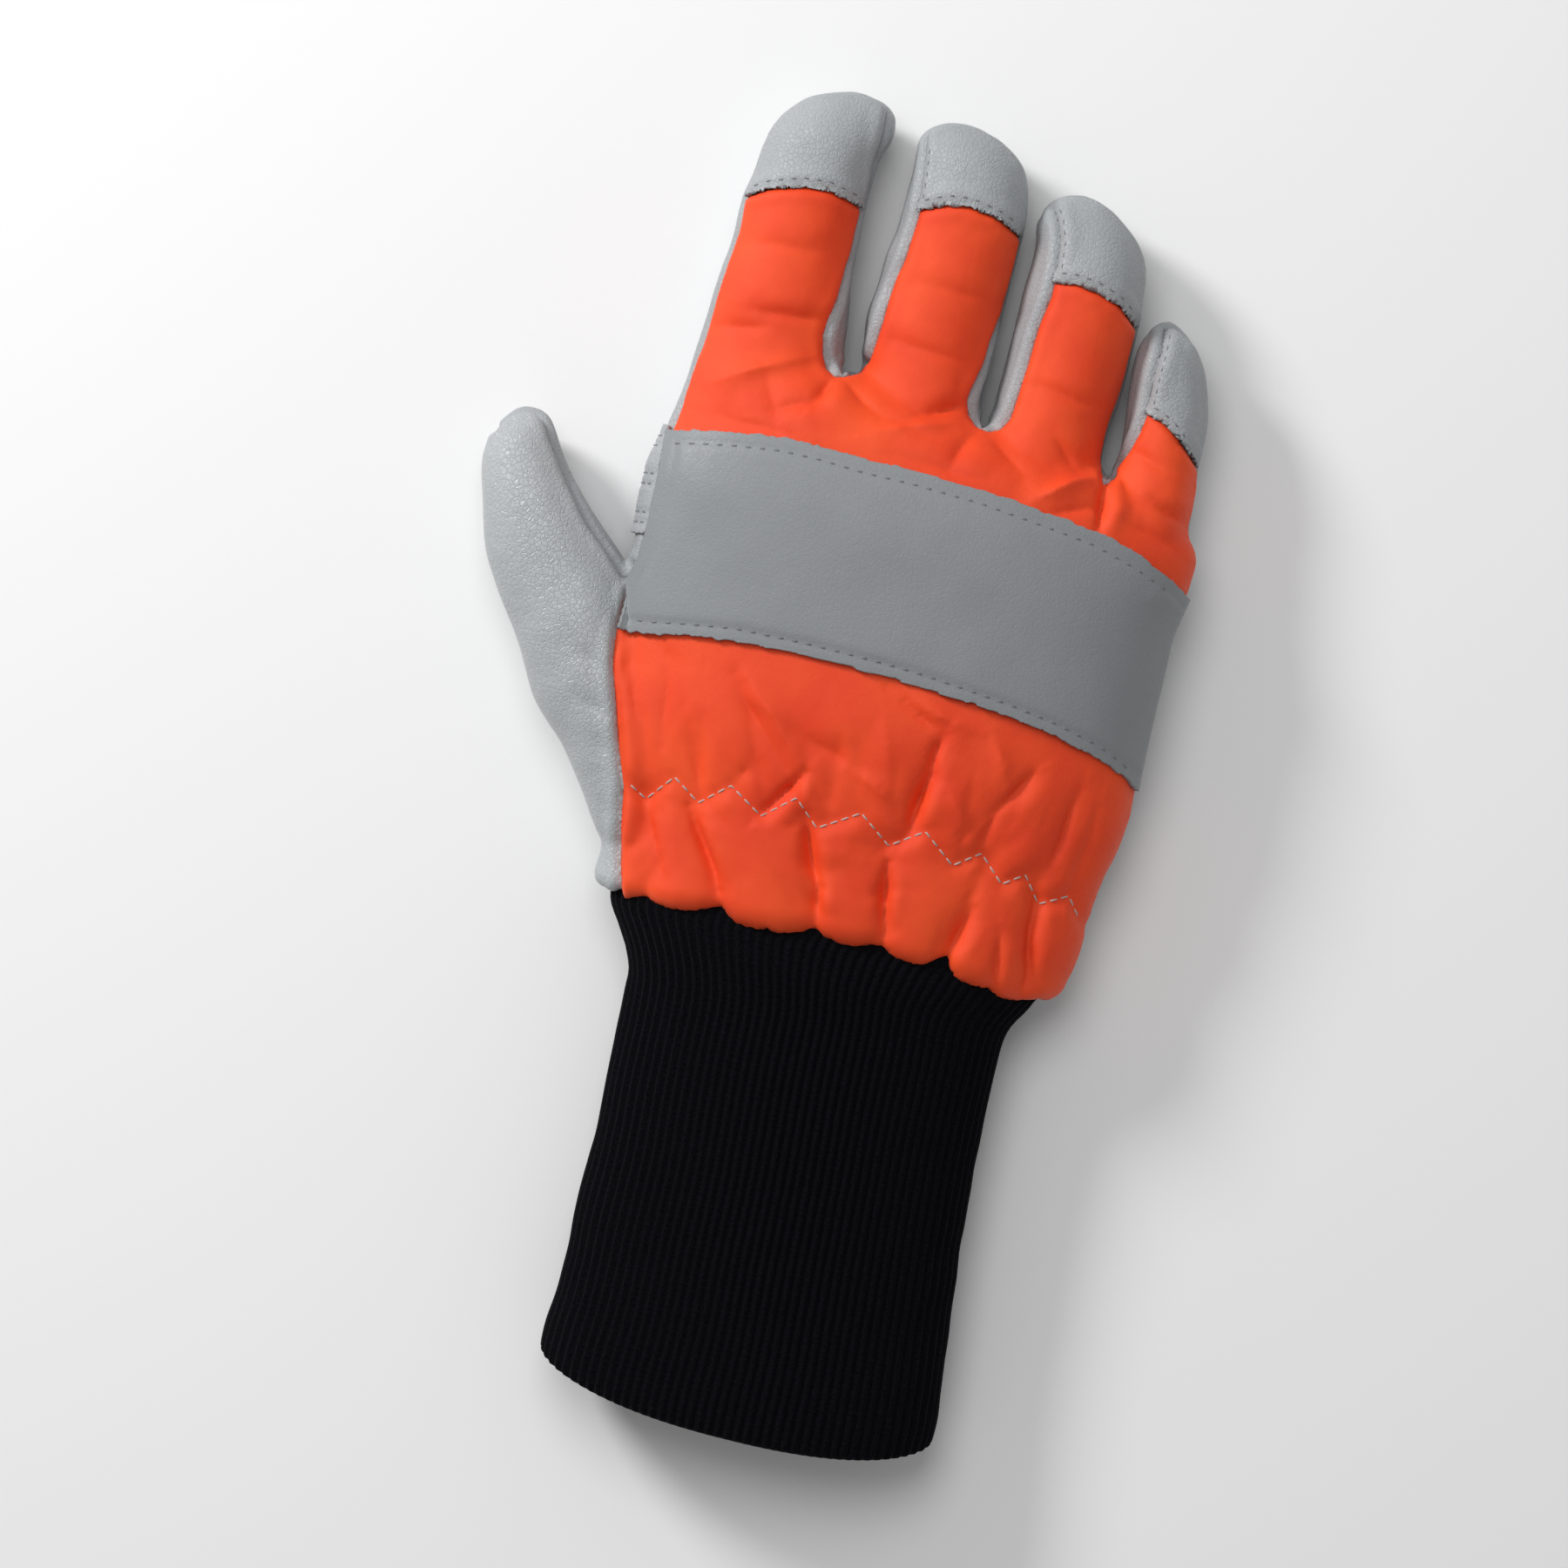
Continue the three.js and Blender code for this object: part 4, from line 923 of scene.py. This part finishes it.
def leather_build(light, dark, grain, rough_low=0.34, specular=0.35):
    def build(t, bsdf, co):
        cells = ramp(t, cell_edges(t, co, 900.0), 0.0, 0.12)
        big = noise_node(t, co, 70.0, 4.0)
        fine = noise_node(t, co, 1600.0, 3.0)
        wrinkle = noise_node(t, co, 300.0, 5.0, 0.65)
        tone = weighted(t, (big, 0.65), (fine, 0.35))
        color = mix_color(t, ramp(t, tone, 0.25, 0.75), dark, light)
        t.links.new(color, bsdf.inputs["Base Color"])
        rough = math_node(t, "ADD", weighted(t, (wrinkle, 0.22)), rough_low)
        t.links.new(rough, bsdf.inputs["Roughness"])
        bump(t, bsdf, weighted(t, (cells, 0.35), (wrinkle, 1.0), (fine, 0.25)), grain, 0.0006)
        bsdf.inputs["Specular IOR Level"].default_value = specular

    return build


def fabric_build(t, bsdf, co):
    sep = t.nodes.new("ShaderNodeSeparateXYZ")
    t.links.new(co, sep.inputs[0])
    x, y = sep.outputs[0], sep.outputs[1]
    warp, weft = wave(t, x, THREAD_PERIOD), wave(t, y, THREAD_PERIOD)
    slant = math_node(t, "ADD", x, math_node(t, "MULTIPLY", y, 1.7))
    diagonal = wave(t, slant, DIAGONAL_PERIOD)
    crossing = math_node(t, "MULTIPLY", warp, weft)
    weave = math_node(t, "ADD", crossing, math_node(t, "MULTIPLY", diagonal, 0.5))
    big = noise_node(t, co, 45.0, 4.0)
    crumple = noise_node(t, co, 260.0, 4.0, 0.6)
    tone = math_node(t, "ADD", big, math_node(t, "MULTIPLY", weave, 0.09))
    color = mix_color(t, ramp(t, tone, 0.3, 0.7), (0.83, 0.054, 0.012), (0.95, 0.090, 0.018))
    t.links.new(color, bsdf.inputs["Base Color"])
    bump(t, bsdf, weighted(t, (weave, 0.09), (crumple, 0.55)), 0.35, 0.0007)
    sheen = {"Sheen Weight": 0.12, "Sheen Roughness": 0.4, "Sheen Tint": (1.0, 0.5, 0.35, 1)}
    set_inputs(bsdf, {**sheen, "Specular IOR Level": 0.3})


def knit_build(t, bsdf, co):
    sep = t.nodes.new("ShaderNodeSeparateXYZ")
    t.links.new(co, sep.inputs[0])
    rows = wave(t, sep.outputs[1], KNIT_PERIOD)
    fuzz = noise_node(t, co, 1800.0, 3.0)
    color = mix_color(t, ramp(t, fuzz, 0.35, 0.7), (0.0012, 0.0012, 0.002), (0.004, 0.004, 0.0062))
    t.links.new(color, bsdf.inputs["Base Color"])
    bump(t, bsdf, weighted(t, (rows, 0.08), (fuzz, 0.6)), 0.7, 0.0005)
    set_inputs(bsdf, {"Specular IOR Level": 0.06, "Sheen Weight": 0.03})


def thread_build(t, bsdf, co):
    bump(t, bsdf, noise_node(t, co, 2500.0, 2.0), 0.4, 0.0002)


grained = leather_build((0.41, 0.43, 0.443), (0.34, 0.357, 0.37), 0.42)
LEATHER = shader("leather", (0.40, 0.42, 0.44), 0.55, grained)
# The thumb's leather is less rough and more specular than the other leather. Its colours are also lighter,
# and that lighter colour is a painted highlight.
glossy_with_painted_highlight = leather_build((0.44, 0.46, 0.468), (0.375, 0.392, 0.405), 0.46, 0.25, 0.5)
THUMB_LEATHER = shader("thumb_leather", (0.40, 0.42, 0.44), 0.5, glossy_with_painted_highlight)
smooth = leather_build((0.27, 0.282, 0.294), (0.243, 0.255, 0.266), 0.15)
STRAP_LEATHER = shader("strap_leather", (0.33, 0.35, 0.37), 0.5, smooth)
FABRIC = shader("hi_vis_fabric", (0.9, 0.07, 0.015), 0.58, fabric_build)
KNIT = shader("knit", (0.005, 0.005, 0.008), 0.95, knit_build)
THREAD = shader("grey_thread", (0.2, 0.21, 0.22), 0.7, thread_build)
PALE_THREAD = shader("pale_thread", (0.50, 0.40, 0.37), 0.6, thread_build)

SLOTS = dict.fromkeys(NAMES + ["palm_patch"], "leather")
SLOTS |= {"back_panel": "fabric_hi_vis", "knuckle_strap": "strap_leather", "cuff": "knit"}


def hand_in(ob, node=None):
    """States a piece's body, the node that it stands for, if any."""
    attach(ob, "root")
    if node:
        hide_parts(node)


# The sewn pieces. A cap's edge stands out a little over the fabric before it.

LOOKS = {"back_panel": FABRIC, "thumb_back": THUMB_LEATHER}
surfaces = {}
for name in NAMES:
    out, into = 0.0, WALL
    if name.endswith("_cap"):
        _, pts = CAP_LINES[name[:-4]]
        edge = np.exp(-((dist / 0.9) ** 2))
        lip = np.exp(-(((rest[:, 1] - line_at(pts, rest[:, 0])) / 1.6) ** 2))
        out, into = 0.45 + 0.75 * edge * lip, CAP_WALL
    sv, sf = shelled(v, f[label == LABEL[name]], n2, out, into)
    sv[:, 2] = np.maximum(sv[:, 2], 0)
    surfaces[name] = (sv, sf)
    skin = new_mesh(name + "_skin", sv, sf.tolist(), LOOKS.get(name, LEATHER))
    hand_in(skin, name)

# The strap and the patch: layers of leather laid on the body.


def layer_piece(name, field, offset, thick, mat, row, furrows):
    """A layer, lifted by offset, with furrows along lines in plan and at row millimetres inside."""
    w, g = trimmed(rest, f, field(rest))
    w = smooth_mesh(w, g, 2)
    nn = normals_of(w, g)
    d = field(w, False)
    swell = offset + 0.28 * step(0.4, 5, d) + 0.12 * noise(w, 9.0, 61)
    swell -= 0.22 * np.exp(-(((d - row) / 0.7) ** 2))
    for line in furrows(w[:, 0]):
        swell -= 0.3 * np.exp(-(((w[:, 1] - line) / 0.8) ** 2))
    sv, sf = shelled(w + nn * swell[:, None], g, nn, thick, 0.0)
    sv[:, 2] = np.maximum(sv[:, 2], 0)
    surfaces[name] = (sv, sf)
    hand_in(new_mesh(name + "_skin", sv, sf.tolist(), mat), name)


def patch_rows(x):
    """The y of the patch's six stitch rows at x."""
    _, low, high = patch_band(x, 0 * x)
    mid = 0.5 * (low + high)
    return [low + 2.4, low + 4.6, mid - 1.1, mid + 1.1, high - 4.6, high - 2.4]


STRAP_ROW = 2.7
layer_piece("knuckle_strap", strap_field, 0.35, 1.15, STRAP_LEATHER, STRAP_ROW, lambda x: [])
layer_piece("palm_patch", patch_field, 0.15, 1.0, LEATHER, 2.4, patch_rows)

# The cuff: a ribbed knit tube with a real wall. Along y: centre, half-width, level, rise, drop.

CUFF = [
    (-111, 0.6, 42.3, 14, 13.2, 14.4), (-98, 0.65, 42.3, 14, 13.2, 14.4), (-85, 1, 41.5, 14, 12.8, 14.4),
    (-70, 0.55, 41, 14, 12.5, 14.4), (-50, 0.35, 39.9, 14, 12.3, 14.4), (-30, -0.1, 39.9, 14, 12.5, 14.4),
    (-20, -0.1, 40, 14, 12.9, 14.4), (-15, -0.7, 40.9, 14.2, 13.2, 14.6),
    (-11, -1.2, 42.6, 14.4, 13.4, 14.8), (-6, -1.2, 45.6, 14.5, 13.2, 14.8),
    (0, 0.2, 47.4, 14.6, 12.4, 14.2), (8, 0.6, 47.8, 14.6, 12, 13.8),
]
RIBS = 92
PER_RIB = 6
CUFF_WALL = 2.2
CUFF_POWER = 2.3
# How far the rim's first rings lie within the wall, so that its edge is round.
RIM = [1.1, 0.45, 0.1]


def strip(near, far):
    """Faces between two rings of vertices."""
    near2, far2 = np.roll(near, -1), np.roll(far, -1)
    return [np.stack([near, near2, far2], 1), np.stack([near, far2, far], 1)]


def cuff_piece():
    """The cuff, with ribs of even width round it. It bows towards the rim."""
    at = curve_of(CUFF)
    sides = RIBS * PER_RIB
    t = 2 * np.pi * np.arange(sides) / sides
    cc, ss = rounded(t, CUFF_POWER)
    arc = np.concatenate([[0], np.cumsum(np.hypot(np.diff(42 * cc), np.diff(13 * ss)))])
    total = arc[-1] + math.hypot(42 * (cc[0] - cc[-1]), 13 * (ss[0] - ss[-1]))
    even = np.interp(np.arange(sides) * total / sides, np.append(arc, total), np.append(t, 2 * np.pi))
    s = np.sin(even)
    cc, ss = rounded(even, CUFF_POWER)
    phase = 2 * np.pi * np.arange(sides) / PER_RIB
    ys = np.concatenate([[-101.5, -101.3, -100.8], np.arange(-99.6, 8, 1.5)])
    outer, inner = [], []
    for i, y in enumerate(ys):
        cx, half, lev, rise, drop = at(y)
        share = np.clip(-(y + 4) / 98.0, 0, 1.1)
        bow = 8.6 * share**2 * np.maximum(s, 0) ** 1.2
        rim = RIM[i] if i < len(RIM) else 0
        q = np.stack([np.cos(even) * 12, np.full(sides, y), np.sin(even) * 12], axis=1)
        rib = 0.28 * np.cos(phase + 0.5 * noise(q, 14.0, 81)) + 0.16 * noise(q, 6.0, 82)
        rib = rib + 0.5 * noise(q, 24.0, 83)
        for rows, inset, amp in ((outer, rim, 1.0), (inner, CUFF_WALL - rim, 0.5)):
            h = half - inset + amp * rib
            r = np.where(s > 0, rise, drop) - inset + amp * rib
            z = np.maximum(lev + r * ss, (0.0 if inset < 1.2 else inset) + 3.2 * step(-15, -3, y))
            rows.append(np.stack([cx + h * cc, y - bow - 0.03 * cx - 0.035 * h * cc, z], axis=1))
    cv = np.vstack(outer + inner)
    ring = np.arange(sides)
    within = len(ys) * sides
    last = within - sides + ring
    cf = []
    for a in range(0, within - sides, sides):
        cf += strip(ring + a, ring + a + sides)
        cf += [side[:, ::-1] for side in strip(ring + a + within, ring + a + within + sides)]
    cf += strip(ring + within, ring)
    cf += [side[:, ::-1] for side in strip(last + within, last)]
    cf = np.vstack(cf)
    surfaces["cuff"] = (cv, cf)
    hand_in(new_mesh("cuff_knit", cv, cf.tolist(), KNIT), "cuff")


cuff_piece()

# Stitches: short threads laid on the surfaces.


def tree_of(*names):
    vv, ff, base = [], [], 0
    for name in names:
        a, b = surfaces[name]
        vv.append(a)
        ff.append(b + base)
        base += len(a)
    return BVHTree.FromPolygons(np.vstack(vv).tolist(), np.vstack(ff).tolist())


def resample(pts, spacing):
    pts = np.array(pts, float)
    at = np.concatenate([[0], np.cumsum(np.linalg.norm(np.diff(pts, axis=0), axis=1))])
    q = np.arange(0, at[-1], spacing)
    return np.stack([np.interp(q, at, pts[:, k]) for k in range(3)], axis=1)


STITCH_SIDES = 6
STITCH_RINGS = 5


def stitch_row(bvh, pts, length, gap, radius, sink, way=(0, 0, -1)):
    """Stitches as small bent capsules where rays from pts, in the direction way, meet a surface."""
    spacing = 0.3
    line = resample(pts, spacing)
    hits = [bvh.ray_cast(Vector(q), Vector(way)) for q in line]
    take = int(round(length / spacing))
    facing_way = -np.array(way, float)
    vv, ff = [], []
    for i in range(0, len(line) - take, int(round((length + gap) / spacing))):
        chunk = hits[i : i + take + 1]
        if any(h[0] is None for h in chunk):
            continue
        p = np.array([h[0][:] for h in chunk])
        if np.linalg.norm(np.diff(p, axis=0), axis=1).max() > 1.0:
            continue
        nn = np.array([h[1][:] for h in chunk])
        m = (nn * np.sign(nn @ facing_way)[:, None]).mean(axis=0)
        m /= np.linalg.norm(m)
        at = np.linspace(0, take, STITCH_RINGS)
        c = np.stack([np.interp(at, np.arange(take + 1), p[:, k]) for k in range(3)], axis=1)
        c = c + m * (np.array([-1.0, 0.25, 0.5, 0.25, -1.0]) * radius - sink)[:, None]
        t = (c[-1] - c[0]) / max(np.linalg.norm(c[-1] - c[0]), 1e-9)
        side = np.cross(m, t)
        base = len(vv)
        for centre, r in zip(c, radius * np.array([0.55, 1.0, 1.0, 1.0, 0.55])):
            for k in range(STITCH_SIDES):
                th = k * 2 * math.pi / STITCH_SIDES
                vv.append(centre + r * (math.cos(th) * side + math.sin(th) * m))
        for a in range(base, base + STITCH_SIDES * (STITCH_RINGS - 1), STITCH_SIDES):
            for k in range(STITCH_SIDES):
                k2 = (k + 1) % STITCH_SIDES
                ff.append((a + k, a + k2, a + k2 + STITCH_SIDES, a + k + STITCH_SIDES))
        ring = range(STITCH_SIDES)
        ff.append(tuple(base + k for k in reversed(ring)))
        ff.append(tuple(len(vv) - STITCH_SIDES + k for k in ring))
    return vv, ff


def stitches(name, rows, material):
    vv, ff = [], []
    for a, b in rows:
        ff += [tuple(i + len(vv) for i in q) for q in b]
        vv += a
    hand_in(new_mesh(name, np.array(vv), ff, material), None)


def over(points):
    return [(x, y, RAY_HEIGHT) for x, y in points]


strap_tree = tree_of("knuckle_strap")
xs = np.arange(-54, 57, 1.0)
rows = []
for line, inset in ((STRAP_TOP, -STRAP_ROW), (STRAP_LOW, STRAP_ROW)):
    pts = over((x, line_at(line, x) + inset) for x in xs)
    rows.append(stitch_row(strap_tree, pts, 1.9, 1.1, 0.26, 0.12))
stitches("strap_stitches", rows, THREAD)

# Along each cap's edge, from one x to another, and down the sides of three of them.
CAP_ROWS = {"index": (-49, -26.5), "middle": (-13, 9), "ring": (18.5, 36.5), "little": (43.6, 54)}
CAP_SIDES = [
    [(-13.1, 154.5), (-13.4, 160), (-14, 166)],
    [(18.6, 146), (18.2, 152), (16.8, 156.6), (15, 160)],
    [(43.6, 122), (43.6, 128), (44, 134), (44, 138)],
]
cap_tree = tree_of("index_cap", "middle_cap", "ring_cap", "little_cap")
rows = []
for finger, (start, end) in CAP_ROWS.items():
    _, edge = CAP_LINES[finger]
    pts = over((x, line_at(edge, x) + 1.6) for x in np.arange(start, end, 0.8))
    rows.append(stitch_row(cap_tree, pts, 1.5, 1.1, 0.18, 0.08))
for pts in CAP_SIDES:
    rows.append(stitch_row(cap_tree, over(pts), 1.4, 1.1, 0.16, 0.08))
stitches("cap_stitches", rows, THREAD)

rows = [stitch_row(tree_of("back_panel"), over(ZIGZAG), 2.1, 0.3, 0.2, 0.02)]
stitches("zigzag_stitches", rows, PALE_THREAD)

# The patch's rows: along its underside, and up its end at the left.
patch_tree = tree_of("palm_patch")
rows = []
for k in range(6):
    under = [(x, patch_rows(np.array([x]))[k][0], -20) for x in np.arange(-50, 50, 1.0)]
    rows.append(stitch_row(patch_tree, under, 2.0, 1.1, 0.26, 0.12, (0, 0, 1)))
    level = patch_rows(np.array([-56.0]))[k][0]
    end = [(-90, level, 4), (-90, level, 30)]
    rows.append(stitch_row(patch_tree, end, 1.8, 1.0, 0.24, 0.1, (1, 0, 0)))
stitches("patch_stitches", rows, THREAD)

# Floor, light and camera.

bpy.ops.mesh.primitive_plane_add(size=8, location=(0, 0, -0.0002))
floor = bpy.context.object
floor.name = "floor"
floor.data.materials.append(shader("floor", (0.97, 0.97, 0.97), 0.9, lambda t, b, c: None))

scene = bpy.context.scene
scene.view_settings.view_transform = "Standard"
scene.view_settings.look = "None"
world = bpy.data.worlds.new("studio")
scene.world = world
world.use_nodes = True
world.node_tree.nodes["Background"].inputs[0].default_value = (1, 1, 1, 1)
world.node_tree.nodes["Background"].inputs[1].default_value = 0.30


def area(name, place, target, size, power):
    data = bpy.data.lights.new(name, "AREA")
    data.shape = "DISK"
    data.size = size
    data.energy = power
    ob = bpy.data.objects.new(name, data)
    scene.collection.objects.link(ob)
    ob.location = place
    ob.rotation_euler = (Vector(target) - Vector(place)).to_track_quat("-Z", "Y").to_euler()


area("key", (-1.0, 0.62, 0.62), (0, 0.02, 0.01), 0.35, 11.5)
area("top", (-0.25, 0.5, 1.3), (0, 0, 0), 0.9, 6.0)

CAMERA_HEIGHT = 1.9
VIEW_WIDTH = 0.335
cam = bpy.data.cameras.new("camera")
cam_ob = bpy.data.objects.new("camera", cam)
scene.collection.objects.link(cam_ob)
scene.camera = cam_ob
cam.sensor_width = 36
cam.lens = 36 * CAMERA_HEIGHT / VIEW_WIDTH
cam_ob.location = (0.0, -0.004, CAMERA_HEIGHT)
cam_ob.rotation_euler = (0, 0, math.radians(12))
cam.clip_start = 0.05
